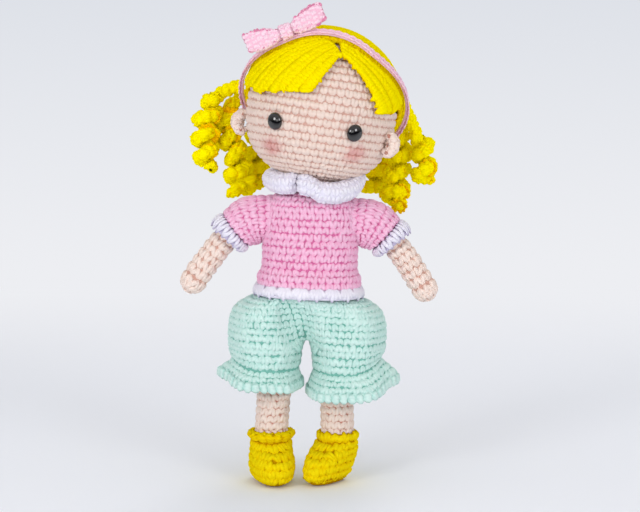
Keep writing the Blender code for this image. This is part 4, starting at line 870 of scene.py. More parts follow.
# %% Fringe strips
# Azimuth and elevation of each seam's top and tip, from the parting outwards
FRINGE_SEAMS = {
    "right": [((15.0, 45.5), (-5.0, 13.5)), ((12.5, 49.0), (-16.5, 11.5)), ((10.0, 52.5), (-26.5, 11.0)),
              ((4.0, 57.0), (-41.0, 7.5)), ((-6.0, 59.5), (-60.0, 7.0))],
    "left": [((16.5, 45.5), (49.5, 4.5)), ((14.0, 52.0), (65.0, 7.0))],
}
# The last strip of each side ends on the rim, between these angles round the head
FRINGE_RIMS = {"right": (-14.0, -76.0), "left": (9.0, 76.0)}
# Degrees before the rim, the strip's thickness at its seams as a share of its middle, and its round tip
FRINGE_RIM_MARGIN, FRINGE_EDGE_SHARE, FRINGE_TIP_ROUNDING = 1.6, 0.97, 0.10
# Where the rows start and how much they cover, as shares of a strip's length, and how far from its
# seams they stop
FRINGE_COVER, FRINGE_SIDE_MARGIN = (0.02, 0.95), 0.05
FRINGE_ROW, FRINGE_GROWTH = (3.5, 3.5), 1.08


def fringe_strip(one, two):
    """A strip's surface between two lines of directions: u down its length and v across it."""
    one, two = np.array(one), np.array(two)
    if np.dot(np.cross(one[-1] - one[0], two[3] - one[3]), one[3]) < 0:
        one, two = two, one

    def surface(u, v):
        u, v = np.broadcast_arrays(np.asarray(u, float), np.asarray(v, float))
        far = u * (1 - FRINGE_TIP_ROUNDING * (2 * v - 1) ** 2)
        direction = unit(along(one, far) * (1 - v[..., None]) + along(two, far) * v[..., None])
        crown = FRINGE_EDGE_SHARE + (1 - FRINGE_EDGE_SHARE) * (1 - (2 * v - 1) ** 2)
        return on_head(direction, FIT_GAP + HAIR_THICKNESS * crown)

    return surface


hair_vee = tile(PLUMP_LEFT, PLUMP_RIGHT, thick=1.9, size=(3.6, 3.6))
first, reach = FRINGE_COVER
for side, seams in FRINGE_SEAMS.items():
    shares = np.linspace(0, 1, 7)[:, None]
    lines = [between(facing(*top), facing(*tip), shares) for top, tip in seams]
    rim = FRINGE_RIMS[side]
    lines.append(rim_direction(rim[0] + (rim[1] - rim[0]) * shares[:, 0], -FRINGE_RIM_MARGIN))
    for k, (one, two) in enumerate(zip(lines, lines[1:])):
        strip = fringe_strip(one, two)
        rows = lay_rows(lambda u, v: strip(first + reach * u, v), *FRINGE_ROW, closed=False,
                        span=(FRINGE_SIDE_MARGIN, 1 - FRINGE_SIDE_MARGIN))
        piece(f"fringe_{side}_{k + 1}_fabric",
              [shell(strip, -0.4, -1.9, across=24, upward=9, closed=False, relief_shade=0.45),
               lay(rows, hair_vee, sink=1.2, wander=0.12, grow=FRINGE_GROWTH)],
              hair_yarn, "head", "hair_yarn", f"fringe_{side}_{k + 1}")

# %% [markdown]
# ## Curls
#
# A curl is a narrow strip worked so tight that it winds up by itself. Each is a tube round a corkscrew,
# which hangs from the cap, goes straight for a while and then winds about a line that falls and bends.
# The lines were set one by one, because no two curls hang alike. The knobs of their stitches stand out,
# so the tile is thick and wanders more than on the cap.

# %% Lines of the curls
# For each curl: how far it runs before it winds, in millimetres, the angle of its first turn in radians,
# and the places that the middle of its turns passes, from the cap down
CURLS = {
    ("side", "outer", "right"): (13, 0.6, [(-33.1, 8.2, 197.8), (-39.5, 8.5, 197.2), (-46.7, 9.0, 193.0),
                                           (-51.2, 9.0, 185.3), (-53.4, 9.0, 174.2), (-52.5, 9.0, 164.0),
                                           (-53.0, 9.0, 156.9)]),
    ("side", "inner", "right"): (12, 3.5, [(-27.6, 18.2, 193.8), (-34.5, 17.5, 192.5), (-40.0, 16.0, 187.7),
                                           (-42.5, 16.0, 178.5), (-39.6, 16.0, 168.3), (-36.6, 16.0, 159.6),
                                           (-37.7, 16.0, 150.4), (-37.2, 16.0, 143.2)]),
    ("back", "outer", "right"): (8, 0.0, [(-19.2, 26.7, 182.4), (-25.1, 30.0, 178.7), (-28.3, 31.0, 168.8),
                                          (-26.8, 31.5, 158.3), (-29.1, 32.0, 149.4), (-28.3, 32.0, 143.6)]),
    ("back", "inner", "right"): (8, 3.1, [(-4.9, 32.4, 177.2), (-6.5, 39.0, 174.5), (-8.0, 41.0, 163.0),
                                          (-8.9, 41.0, 152.0), (-8.9, 40.4, 141.2)]),
    ("side", "outer", "left"): (19, 2.6, [(44.7, 12.5, 190.8), (48.3, 12.5, 187.8), (51.8, 12.5, 180.1),
                                          (55.5, 12.5, 172.0), (58.3, 12.5, 164.9), (58.1, 12.5, 157.2),
                                          (59.5, 12.5, 149.5)]),
    ("side", "inner", "left"): (15, 5.6, [(35.5, 23.4, 185.9), (42.1, 22.5, 183.5), (46.7, 21.0, 175.3),
                                          (47.8, 21.0, 165.0), (45.2, 21.0, 156.3), (45.6, 21.0, 148.0),
                                          (43.0, 21.0, 140.7), (44.1, 21.0, 135.5)]),
    ("back", "outer", "left"): (8, 1.0, [(22.2, 30.5, 177.0), (29.5, 34.0, 173.8), (35.4, 36.0, 164.4),
                                         (36.5, 36.5, 154.9), (33.4, 37.0, 147.0), (31.1, 37.0, 142.8)]),
    ("back", "inner", "left"): (8, 4.2, [(8.5, 33.2, 175.2), (10.0, 40.0, 173.0), (11.0, 42.0, 162.0),
                                         (11.5, 42.2, 152.0), (11.5, 42.2, 142.2)]),
}


# %% Winding a curl
# The strip's radius, how far its middle swings out, and how far down one turn takes it
CURL_RADIUS, CURL_SWING, CURL_PITCH, CURL_TURN_STEPS = 3.2, 3.6, 9.4, 14
# The strip's ends: thinner where it is sewn to the cap, and rounded off at its tip
CURL_ROOT, CURL_TIP = (2.2, 2.9), (2.9, 2.4, 1.5)
# A direction that no curl runs along, which says where the strip's seam lies
CURL_ASIDE = (0.2, 0.9, 0.37)
CURL_ROW = (3.7, 3.5)


def corkscrew(places, straight, phase):
    """The middle line of a curl: a straight length of strand, then turns about a falling line."""
    fine = along(places, np.linspace(0, 1, 301))
    reach = np.concatenate([[0], np.cumsum(np.linalg.norm(np.diff(fine, axis=0), axis=-1))])
    stations = np.linspace(0, reach[-1], int(reach[-1] / CURL_PITCH * CURL_TURN_STEPS))
    middle = np.stack([np.interp(stations, reach, fine[:, axis]) for axis in range(3)], 1)
    line = unit(np.gradient(middle, axis=0))
    across = np.array((0.0, 1.0, 0.0))
    sides = []
    for direction in line:
        across = unit(across - direction * np.dot(across, direction))
        sides.append(across)
    sides = np.array(sides)
    beside = np.cross(line, sides)
    wound = np.maximum(stations - straight, 0)
    swing = (CURL_SWING * smooth_step(wound / CURL_PITCH))[:, None]
    angle = (phase + 2 * np.pi * wound / CURL_PITCH)[:, None]
    return middle + (sides * np.cos(angle) + beside * np.sin(angle)) * swing


# %% Curls
# The same cotton as the cap, painted a little lighter, as painted light for what a wound strip catches
# from all round; the hollows still get a painted gold shade
curl_lightened_tones = ("FFF200", "FFE800", "F6BE00")
lightened_curl_yarn = yarn("curl_cotton_lightened", *curl_lightened_tones, sheen=0.0, gloss=0.0)
knob = tile(PLUMP_LEFT, PLUMP_RIGHT, thick=2.3)
for (bunch, label, side), (straight, phase, places) in CURLS.items():
    path = corkscrew(places, straight, phase)
    radii = np.full(len(path), CURL_RADIUS)
    radii[:len(CURL_ROOT)], radii[-len(CURL_TIP):] = CURL_ROOT, CURL_TIP
    curl = tube(path, radii, CURL_ASIDE)
    fabric = [shell(curl, -0.2, -1.6, across=12, upward=len(path) * 3 // 2, relief_shade=0.8),
              lay(lay_rows(curl, *CURL_ROW, lean=0.3), knob, sink=1.3, wander=0.15)]
    piece(f"curl_{bunch}_{label}_{side}_fabric", fabric, lightened_curl_yarn, f"curls_{bunch}_{side}", "hair_yarn",
          f"curl_{bunch}_{label}_{side}")

# %% [markdown]
# ## Headband
#
# The headband is one row of chain, so it shows a line of drops that grip each other. It is a thin cord
# that lies in the hair just behind the fringe, so only its outer side is made.

# %% Headband
# The cord's radius, degrees behind the rim, and its middle's height over the head's skin
BAND_RADIUS, BAND_INSET, BAND_RISE = 1.9, 2.0, 5.2
# Radius of the head's circle at the rim, to turn the cord's width into degrees, and how deep it sinks in
BAND_CIRCLE, BAND_SINK = 42, 0.35
# A link's spacing along the band and its size; the row is as wide as the cord
BAND_ROW, LINK_LENGTH = (3.7, 12.0), 4.4
# Pale pink cotton; the third colour is painted shade for its hollows
bow_tones = ("F5D6E4", "EFBDD2", "DA7FA4")
bow_yarn = yarn("pale_pink_cotton", *bow_tones)


def band_surface(u, v):
    """The cord's skin: u along the band and v across it, over its outer side."""
    u, v = np.broadcast_arrays(np.asarray(u, float), np.asarray(v, float))
    around = (360 * u) % 360 - 180
    turn = np.pi * (v - 0.5)
    inset = BAND_INSET + np.degrees(BAND_RADIUS * np.sin(turn) / BAND_CIRCLE)
    return on_head(rim_direction(around, inset), BAND_RISE + BAND_RADIUS * (np.cos(turn) - BAND_SINK))


drop = tile(*mirrored(DROP_LEG), thick=1.8, size=(4.2, 4.4))
band_rows = sideways(lay_rows(band_surface, *BAND_ROW, lean=0.0))
band_rows["wide"][:] = LINK_LENGTH
piece("headband_fabric", [shell(band_surface, -0.45, -2.2, across=160, upward=9, relief_shade=0.6),
                          lay(band_rows, drop, sink=0.75, wander=0.03)],
      bow_yarn, "head", "pale_pink_yarn", "headband")

# %% [markdown]
# ## Bow
#
# The bow is a small flat strip of crochet, pinched in the middle by a ring of the same yarn. It sits on
# the headband at the doll's right and leans with it. The strip is one surface through a few rings, narrow
# where the ring grips it, and the ring is a short oval tube.

# %% Seat of the bow
# Degrees: round the head from its top, back from there, and from lying flat to standing on edge
BOW_PLACE, BOW_LEAN, BOW_RISE_ANGLE = -30.5, -28.0, 55.0
# The slope of the ribbon against the head's side to side, and how far it perches above the hair
BOW_SLOPE, BOW_PERCH = -37.0, 1.6
BOW_HALF_LENGTH, BOW_HALF_HEIGHT, BOW_HALF_THICKNESS = 20.0, 5.2, 1.7
# How far the wings lift beyond the knot, and the pinched share of the ribbon's height
BOW_WING_LIFT, BOW_PINCH = 3.0, 0.46
KNOT_THICKNESS, KNOT_HALF_WIDTH = 1.2, 2.8


def bow_place():
    """The bow's frame in the world: X along the band, Z along the ribbon's height."""
    a, lean, rise = (math.radians(angle) for angle in (BOW_PLACE, BOW_LEAN, BOW_RISE_ANGLE))
    out = np.array((math.sin(a) * math.cos(lean), math.sin(lean), math.cos(a) * math.cos(lean)))
    slope = math.radians(BOW_SLOPE)
    line = np.array((math.cos(slope), 0, -math.sin(slope)))
    line = unit(line - out * np.dot(line, out))
    back = unit(np.cross(out, line))
    back = back if back[1] > 0 else -back
    height = back * math.cos(rise) + out * math.sin(rise)
    reach = math.hypot((BOW_HALF_THICKNESS + FIT_GAP + KNOT_THICKNESS) * math.cos(rise),
                       (BOW_HALF_HEIGHT * BOW_PINCH + FIT_GAP + KNOT_THICKNESS) * math.sin(rise))
    place = np.eye(4)
    place[:3, :3] = head_frame[:3, :3] @ np.stack([line, np.cross(height, line), height], 1)
    place[:3, 3] = on_head(out, HAIR_THICKNESS + 2 * FIT_GAP + reach + BOW_PERCH)
    return place


bow_frame = bow_place()
print("the bow sits at", (bow_frame[:3, 3]).round(1), "mm")

# %% Ribbon and knot
# From the middle outwards: shares of the half length, the half height and the half thickness
BOW_HALF_SHARES = ((0.0, BOW_PINCH, 1.0), (0.16, BOW_PINCH, 1.0), (0.30, 0.78, 1.0), (0.5, 0.92, 0.85),
                   (0.72, 1.0, 0.8), (0.92, 0.98, 0.8), (1.0, 0.80, 0.6))
bow_stations = [(-a, h, t) for a, h, t in BOW_HALF_SHARES[:0:-1]] + list(BOW_HALF_SHARES)


def ribbon_surface(u, v):
    """The ribbon's skin: u round its section and v along its length."""
    u, v = np.broadcast_arrays(np.asarray(u, float), np.asarray(v, float))
    at, height, thick = np.moveaxis(along(bow_stations, v), -1, 0)
    a = 2 * np.pi * u
    y = BOW_HALF_THICKNESS * (thick * np.cos(a) + at * at)
    lift = BOW_WING_LIFT * np.maximum(np.abs(at) - KNOT_HALF_WIDTH / BOW_HALF_LENGTH, 0)
    z = BOW_HALF_HEIGHT * height * np.sin(a) + lift
    return placed(np.stack([at * BOW_HALF_LENGTH, y, z], -1), bow_frame)


def knot_surface(u, v):
    """The ring round the ribbon's middle: u round it and v across its width."""
    u, v = np.broadcast_arrays(np.asarray(u, float), np.asarray(v, float))
    a = 2 * np.pi * u
    half_y = BOW_HALF_THICKNESS + FIT_GAP + KNOT_THICKNESS
    half_z = BOW_HALF_HEIGHT * BOW_PINCH + FIT_GAP + KNOT_THICKNESS
    points = np.stack([(2 * v - 1) * KNOT_HALF_WIDTH, half_y * np.cos(a), half_z * np.sin(a)], -1)
    return placed(points, bow_frame)


BOW_ROW, KNOT_ROW = (2.6, 2.9), (2.6, 3.0)
bow_vee = tile(PLUMP_LEFT, PLUMP_RIGHT, thick=1.35, size=(2.9, 2.6))
ribbon_rows = sideways(lay_rows(ribbon_surface, *BOW_ROW, span=(0.01, 0.99)))
piece("bow_ribbon_fabric", [shell(ribbon_surface, -0.25, -0.9, across=32, upward=40, relief_shade=0.4),
                            lay(ribbon_rows, bow_vee, sink=0.85, wander=0.13)],
      bow_yarn, "head", "pale_pink_yarn", "bow_ribbon")
knot_rows = sideways(lay_rows(knot_surface, *KNOT_ROW, lean=0.5))
piece("bow_knot_fabric", [shell(knot_surface, -0.3, -1.1, across=24, upward=8, relief_shade=0.4),
                          lay(knot_rows, bow_vee, sink=0.75, wander=0.1)],
      bow_yarn, "head", "pale_pink_yarn", "bow_knot")

# %% [markdown]
# ## Body and shirt
#
# The torso leans two degrees under the head. Its skin shows only at the neck. Both it and the shirt are
# rings of a squarish oval, so one table of rings gives both, and the shirt's is the body's moved outwards.
# The shirt is worked in rows back and forth, so a row of V stitches and a row of bumps take turns, and
# each pair is about 7 mm tall.

# %% Torso frame and rings
TORSO_ASIDE, DOLL_FORWARD, TORSO_TILT, PIVOT_HEIGHT = 0.5, 9.9, 2.0, 115.0
BODY_HALF_WIDTH, BODY_HALF_DEPTH, BODY_BOTTOM, SHOULDER_TOP = 21.2, 17.2, 87.2, 144.5
TORSO_POWER = 2.3
# Shares of the body's height, half width and half depth, from its bottom up
BODY_SHARES = ((0.00, 0.82, 0.74), (0.06, 0.94, 0.85), (0.29, 0.96, 0.96), (0.38, 1.00, 1.00),
               (0.75, 1.00, 0.98), (0.87, 0.96, 0.93), (0.94, 0.84, 0.84), (1.00, 0.58, 0.68))
torso_frame = moved(TORSO_ASIDE, -DOLL_FORWARD, PIVOT_HEIGHT) @ turned(TORSO_TILT, "Y")
torso_frame = torso_frame @ moved(0, 0, -PIVOT_HEIGHT)


def oval(u, half_width, half_depth, power):
    """Points round an oval; a power of 2 is an ellipse and a higher one is squarer."""
    c, s = np.cos(2 * np.pi * u), np.sin(2 * np.pi * u)
    return (half_width * np.sign(c) * np.abs(c) ** (2 / power),
            half_depth * np.sign(s) * np.abs(s) ** (2 / power))


def spread_out(profile, distance):
    """Rings of height, half width and half depth, moved out along the profile's normal."""
    normal = unit(np.gradient(profile[:, :2], axis=0))
    return profile + distance * np.stack([-normal[:, 1], normal[:, 0], normal[:, 0]], 1)


def torso_surface(profile):
    """A surface round the torso through rings of height, half width and half depth."""
    def surface(u, v):
        u, v = np.broadcast_arrays(np.asarray(u, float), np.asarray(v, float))
        height, width, depth = np.moveaxis(along(profile, v), -1, 0)
        x, y = oval(u, width, depth, TORSO_POWER)
        return placed(np.stack([x, y, height], -1), torso_frame)

    return surface


# %% Body
# The rings that close the body below and carry it up into the neck: height, half width, half depth
BODY_CLOSE, NECK_RINGS = (BODY_BOTTOM, 4.0, 4.0), ((147.0, 10.8, 10.8), (151.2, 10.6, 10.6))
# Stitches below this height are under the clothes and are left out
NECK_SHOWN = 143
body_profile = np.array([(BODY_BOTTOM + s * (SHOULDER_TOP - BODY_BOTTOM), BODY_HALF_WIDTH * w,
                          BODY_HALF_DEPTH * d) for s, w, d in BODY_SHARES])
body_surface = torso_surface(np.array([BODY_CLOSE, *body_profile, *NECK_RINGS]))
body_rows = lay_rows(body_surface, *SKIN_STITCH, keep=lambda p: p[:, 2] > NECK_SHOWN)
body = piece("body_fabric", [shell(body_surface, -0.2, -1.6, across=48, upward=40), lay(body_rows, vee)],
             skin_yarn, "torso", "skin_yarn", "body_skin")

# %% Shirt
# How far the shirt stands off the body, its hem, how far the hem flares and how deep the shorts tuck in
SHIRT_COVER, SHIRT_THICKNESS, SHIRT_HEM, SHIRT_FLARE, WAIST_TUCK = 3.0, 2.5, 99.5, 1.9, 2.0
# Each row of a pair is moved this far towards the other, in millimetres
PAIR_SQUEEZE = 0.10
SHIRT_STITCH = (3.8, 3.4)
waist_end = SHIRT_HEM + WAIST_TUCK + SHIRT_THICKNESS
shirt_half = (BODY_HALF_WIDTH + SHIRT_COVER + SHIRT_FLARE, BODY_HALF_DEPTH + SHIRT_COVER + SHIRT_FLARE)
worn = spread_out(body_profile, SHIRT_COVER)
shirt_profile = np.array([(SHIRT_HEM, *shirt_half), (waist_end, *shirt_half),
                          *worn[worn[:, 0] > waist_end + SHIRT_THICKNESS]])
shirt_surface = torso_surface(shirt_profile)
# Rose cotton whose hollows are painted a strong pink shade
shirt_tones = ("F0BFD9", "EA9FC4", "C95A93")
shirt_yarn = yarn("pink_cotton", *shirt_tones)
wide_vee = tile(HEART_LEFT, HEART_RIGHT, thick=1.9, size=(4.1, 3.6))


def paired_rows(spots, sink=1.15):
    """Rows worked back and forth: in every second row the stitches stand on their heads."""
    odd = spots["row"] % 2 == 1
    spots["place"] += spots["up"] * np.where(odd, -PAIR_SQUEEZE, PAIR_SQUEEZE)[:, None]
    return [lay(only(spots, odd), wide_vee, sink, wander=0.10),
            lay(only(spots, ~odd), wide_vee, sink, wander=0.10, flip=True)]


shirt_rows = lay_rows(shirt_surface, *SHIRT_STITCH)
piece("shirt_fabric",
      [shell(shirt_surface, -0.9, -2.2, across=80, upward=40, relief_shade=0.12), *paired_rows(shirt_rows)],
      shirt_yarn, "torso", "pink_yarn", "shirt")

# %% [markdown]
# ## White edging
#
# The shirt ends in a white scalloped trim: a row of shells, each a fan of five posts worked into one
# stitch. A fan is a tile like any other, only with five strands, laid once round the hem.

# %% Scalloped trim
TRIM_DROP, TRIM_FLARE, TRIM_OVERLAP = 4.2, 2.2, 0.8
# A shell's spacing round the hem and the trim's height; the fan is laid a little larger, so that they meet
TRIM_ROW, TRIM_GROWTH = (8.1, 4.2), 1.12
# The white is bleached and a little blue; its hollows are painted a lilac shade
white_tones = ("EAE7F1", "DEDAEA", "BDB2D0")
white_yarn = yarn("white_cotton", *white_tones, sheen=0.15)


def trim_surface(u, v):
    """The trim's face, from its free lower edge up to where it overlaps the shirt."""
    u, v = np.broadcast_arrays(np.asarray(u, float), np.asarray(v, float))
    flare = TRIM_FLARE * (1 - v)
    x, y = oval(u, shirt_half[0] + flare, shirt_half[1] + flare, TORSO_POWER)
    drop = TRIM_DROP * (1 - v) - TRIM_OVERLAP * v
    return placed(np.stack([x, y, SHIRT_HEM - drop + 0 * x], -1), torso_frame)


def fan(count, radius):
    """Strands that spread downwards from one point, as the posts of a shell stitch do."""
    ends = np.linspace(-0.44, 0.44, count)
    return [((0.1 * x, 0.62, -0.3, radius * 0.6), (0.45 * x, 0.30, 0.10, radius),
             (0.85 * x, -0.05, 0.18, radius), (1.05 * x, -0.38 + abs(x) * 0.5, 0.05, radius),
             (1.1 * x, -0.62 + abs(x) * 0.8, -0.5, radius * 0.6)) for x in ends]


scallop = tile(*fan(5, 0.56), thick=2.3, size=(8.1, 5.0))
trim_rows = lay_rows(trim_surface, *TRIM_ROW, lean=0.0)
piece("hem_trim_fabric", [shell(trim_surface, -1.0, -2.0, across=84, upward=6, relief_shade=0.5),
                          lay(trim_rows, scallop, sink=0.9, wander=0.03, grow=TRIM_GROWTH)],
      white_yarn, "torso", "white_yarn", "hem_trim")

# %% [markdown]
# ## Collar
#
# The collar is a strip that stands up from the neck and rolls over outwards, open at the doll's right of
# the chin. Its roll wanders in and out and up and down, because more stitches were worked into it than lie
# flat, so its middle line was set down place by place.

# %% Collar
# The roll's radius, and the azimuths where the collar starts and ends
COLLAR_ROLL, COLLAR_START, COLLAR_END = 5.4, -20.0, 338.5
# The roll's section, in degrees from its outer edge up and over to the neck
ROLL_START, ROLL_SPAN = -105, 235
# Share of the length over which the ends are rounded off, and the roll's size right at the end
COLLAR_ROUND, COLLAR_THIN = 0.03, 0.55
# Round the neck from the front: azimuth, radius of the roll's middle line and its height
COLLAR_LINE = ((-24, 17.5, 151.6), (-17, 20.5, 151.0), (-8, 22.2, 150.9), (2, 21.6, 149.6),
               (10, 20.2, 147.4), (30, 21.4, 146.9), (55, 21.8, 148.6), (72, 21.4, 151.6),
               (88, 21.0, 153.4), (110, 21.4, 151.8), (135, 19.8, 150.4), (160, 21.4, 152.4),
               (185, 20.0, 150.8), (210, 21.4, 152.2), (235, 20.0, 150.9), (260, 20.2, 151.4),
               (278, 19.4, 152.0), (295, 19.8, 151.2), (315, 20.2, 150.5), (328, 19.0, 151.0),
               (337, 17.2, 151.6), (345, 16.0, 152.0))


def collar_surface(u, v):
    """The collar's face: v runs from its outer edge over the roll and back up to the neck."""
    u, v = np.broadcast_arrays(np.asarray(u, float), np.asarray(v, float))
    azimuth = COLLAR_START + (COLLAR_END - COLLAR_START) * u
    line = np.array(COLLAR_LINE)
    near = [np.stack([np.interp(azimuth + aside, line[:, 0], line[:, k]) for k in (1, 2)])
            for aside in (-4, -2, 0, 2, 4)]
    radius, height = np.mean(near, axis=0)
    end = np.clip(np.minimum(u, 1 - u) / COLLAR_ROUND, 0, 1)
    roll = COLLAR_ROLL * (COLLAR_THIN + (1 - COLLAR_THIN) * np.sqrt(end * (2 - end)))
    t = np.radians(ROLL_START + ROLL_SPAN * v)
    reach = radius + roll * np.cos(t)
    a = np.radians(azimuth)
    points = np.stack([reach * np.sin(a), -reach * np.cos(a), height + roll * np.sin(t)], -1)
    return placed(points, torso_frame)


COLLAR_STITCH = (4.4, 4.4)
collar_vee = tile(PLUMP_LEFT, PLUMP_RIGHT, thick=1.6, size=COLLAR_STITCH)
collar_rows = lay_rows(collar_surface, *COLLAR_STITCH, closed=False)
piece("collar_fabric", [shell(collar_surface, -0.4, -1.9, across=160, upward=24, closed=False, relief_shade=0.55),
                        lay(collar_rows, collar_vee, sink=1.0, wander=0.08)],
      white_yarn, "torso", "white_yarn", "collar")

# %% [markdown]
# ## Arms
#
# An arm is a stuffed tube with a rounded end, worked from the hand up, and it bends gently outwards. Its
# path is a curve with four control points, and a table says how wide it is along that path. The sleeve
# and its white cuff are worked onto the arm and swing with it, so they have the same path and their own
# tables.

# %% Surfaces round the arm's path
SHOULDER_HALF_SPAN, SHOULDER_HEIGHT = 24.5, 132.0
# Control points of the path from the shoulder: outwards, and up
ARM_STRAIGHT, ELBOW, HAND = 9.5, (17.5, -7.5), (33.4, -32.5)


def bezier(controls, share):
    """Points on the cubic curve of four control points."""
    t = np.asarray(share, float)[..., None]
    return ((1 - t) ** 3 * controls[0] + 3 * t * (1 - t) ** 2 * controls[1]
            + 3 * t * t * (1 - t) * controls[2] + t ** 3 * controls[3])


def arm_surface(sign, table):
    """A surface round the arm's path; rows of the table are path share, radius and length beyond it."""
    start = BODY_HALF_WIDTH + FIT_GAP - SHOULDER_HALF_SPAN
    flat = ((start, 0), (ARM_STRAIGHT, 0), ELBOW, HAND)
    controls = [np.array((sign * x, 0.0, z)) for x, z in flat]
    place = torso_frame @ moved(sign * SHOULDER_HALF_SPAN, 0, SHOULDER_HEIGHT)

    def surface(u, v):
        u, v = np.broadcast_arrays(np.asarray(u, float), np.asarray(v, float))
        share, radius, beyond = np.moveaxis(along(table, v), -1, 0)
        share = np.clip(share, 0, 1)
        line = unit(bezier(controls, np.minimum(share + 0.01, 1)) - bezier(controls, share - 0.01))
        middle = bezier(controls, share) + line * beyond[..., None]
        up = np.cross(line, (0, 1, 0))
        a = 2 * np.pi * u[..., None]
        round_it = np.cos(a) * np.array((0, 1, 0)) + np.sin(a) * up
        return placed(middle + round_it * radius[..., None], place)

    return surface


# %% Arms
ARM_RADIUS, HAND_RADIUS, ARM_STEPS = 6.0, 6.7, 5
# Degrees round the hand's rounded end, and the share of the arm from which the sleeve leaves it bare
HAND_ARC, ARM_SHOWN = (30, 58, 78, 88), 0.25
ARM_ROW = (4.7, 4.3)
arm_table = [(share, ARM_RADIUS + (HAND_RADIUS - ARM_RADIUS) * float(smooth_step(share)), 0.0)
             for share in np.arange(ARM_STEPS + 1) / ARM_STEPS]
arm_table += [(1.0, HAND_RADIUS * math.cos(a), HAND_RADIUS * math.sin(a)) for a in np.radians(HAND_ARC)]


def make_arm(name, sign):
    arm = arm_surface(sign, arm_table)
    rows = lay_rows(arm, *ARM_ROW, span=(ARM_SHOWN, 1.0), lean=0.3)
    skin = piece(f"arm_{name}_fabric",
                 [shell(arm, -0.9, -2.2, across=28, upward=36, relief_shade=0.15),
                  lay(rows, arm_vee, sink=1.2, wander=0.08, flip=True)],
                 skin_yarn, f"arm_{name}", "skin_yarn", f"arm_skin_{name}")


# %% Sleeves
# Radii at the sleeve's root, its fullest and its end, and the share of the arm that it covers
SLEEVE_ROOT, SLEEVE_PUFF, SLEEVE_END, SLEEVE_SHARE = 10.6, 12.4, 10.8, 0.47
# The sleeve's head, closed inside the shirt: path share, radius and length beyond the path's start
SLEEVE_HEAD = ((0.0, 8.5, -8.0), (0.0, 11.0, -5.5), (0.0, 12.0, -3.0))
# The sleeve is gathered at the shoulder, so it is at least this wide there and less so further down
SLEEVE_GATHER, SLEEVE_SLACK = 12.2, 4.0
sleeve_table = list(SLEEVE_HEAD)
for share in np.linspace(0.1, 1, 7):
    lift = SLEEVE_PUFF - (SLEEVE_ROOT + SLEEVE_END) / 2
    radius = SLEEVE_ROOT * (1 - share) + SLEEVE_END * share + lift * math.sin(math.pi * share)
    sleeve_table.append((SLEEVE_SHARE * share, max(radius, SLEEVE_GATHER - SLEEVE_SLACK * share), 0.0))


def make_sleeve(name, sign):
    sleeve = arm_surface(sign, sleeve_table)
    piece(f"sleeve_{name}_fabric",
          [shell(sleeve, -0.9, -2.2, across=48, upward=16, relief_shade=0.12),
           *paired_rows(lay_rows(sleeve, *SHIRT_STITCH))],
          shirt_yarn, f"arm_{name}", "pink_yarn", f"sleeve_{name}")


# %% Cuffs
CUFF_RADIUS, CUFF_SHARE, CUFF_ROW = 11.5, 0.60, (4.4, 5.5)
cuff_table = [(SLEEVE_SHARE, SLEEVE_END, FIT_GAP), ((SLEEVE_SHARE + CUFF_SHARE) / 2, CUFF_RADIUS, 0.0),
              (CUFF_SHARE, CUFF_RADIUS, 0.0)]


def make_cuff(name, sign):
    cuff = arm_surface(sign, cuff_table)
    piece(f"cuff_{name}_fabric",
          [shell(cuff, -1.3, -2.2, across=40, upward=6),
           lay(lay_rows(cuff, *CUFF_ROW, lean=0.0), cuff_vee, sink=1.0, flip=True)],
          white_yarn, f"arm_{name}", "white_yarn", f"cuff_{name}")


# %% Both arms, dressed
arm_vee = tile(HEART_LEFT, HEART_RIGHT, size=(4.6, 4.3))
cuff_vee = tile(*mirrored(V_LEG), size=(4.4, 6.4))
for name, sign in (("right", -1), ("left", 1)):
    make_arm(name, sign)
    make_sleeve(name, sign)
    make_cuff(name, sign)

# %% [markdown]
# ## Legs and boots
#
# The legs are stuffed tubes, closed at the hip. The boots are worked separately in a thick single crochet,
# about six rows from sole to rim, and pulled over the feet. Both are level rings about an axis that runs
# from hip to ankle. A ring has a toe and a heel of its own, so one table holds the round shank and the
# long foot. The hips' places come from the frame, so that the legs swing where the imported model's do.

# %% Surfaces round a leg
# Each ankle's place from side to side, and how far its foot is turned out
ANKLES = {"right": (-19.3, 10.0), "left": (14.3, -32.0)}
# The left sole lies this much towards the doll's right, as on a doll that stands askew in its boot
BOOT_HEIGHT, BOOT_LEANS = 24.0, {"right": 0.0, "left": -2.2}
ROUND = 2.0


def leg_surface(name, table):
    """A surface of level rings round a leg's axis; rows are height, half width, toe, heel and power."""
    hip = np.array(joints[f"leg_{name}_swing"]["pos_m"]) / MM
    ankle, foot_turn = ANKLES[name]
    turn = turned(foot_turn, "Z")[:3, :3]

    def surface(u, v):
        u, v = np.broadcast_arrays(np.asarray(u, float), np.asarray(v, float))
        height, width, toe, heel, power = np.moveaxis(along(table, v), -1, 0)
        x, y = oval(u, width, 1.0, power)
        y = y * np.where(y < 0, toe, heel)
        points = np.stack([x, y, 0 * x], -1) @ turn.T
        share = (hip[2] - np.maximum(height, BOOT_HEIGHT)) / (hip[2] - BOOT_HEIGHT)
        aside = hip[0] + (ankle - hip[0]) * share + BOOT_LEANS[name] * np.maximum(1 - height / BOOT_HEIGHT, 0)
        return points + np.stack([aside, hip[1] + 0 * aside, height], -1)

    return surface


# %% Rings of the boots
BOOT_THICKNESS, BOOT_TOE, BOOT_HEEL, BOOT_HALF, BOOT_POWER = 2.0, 23.5, 11.0, 11.3, 2.3
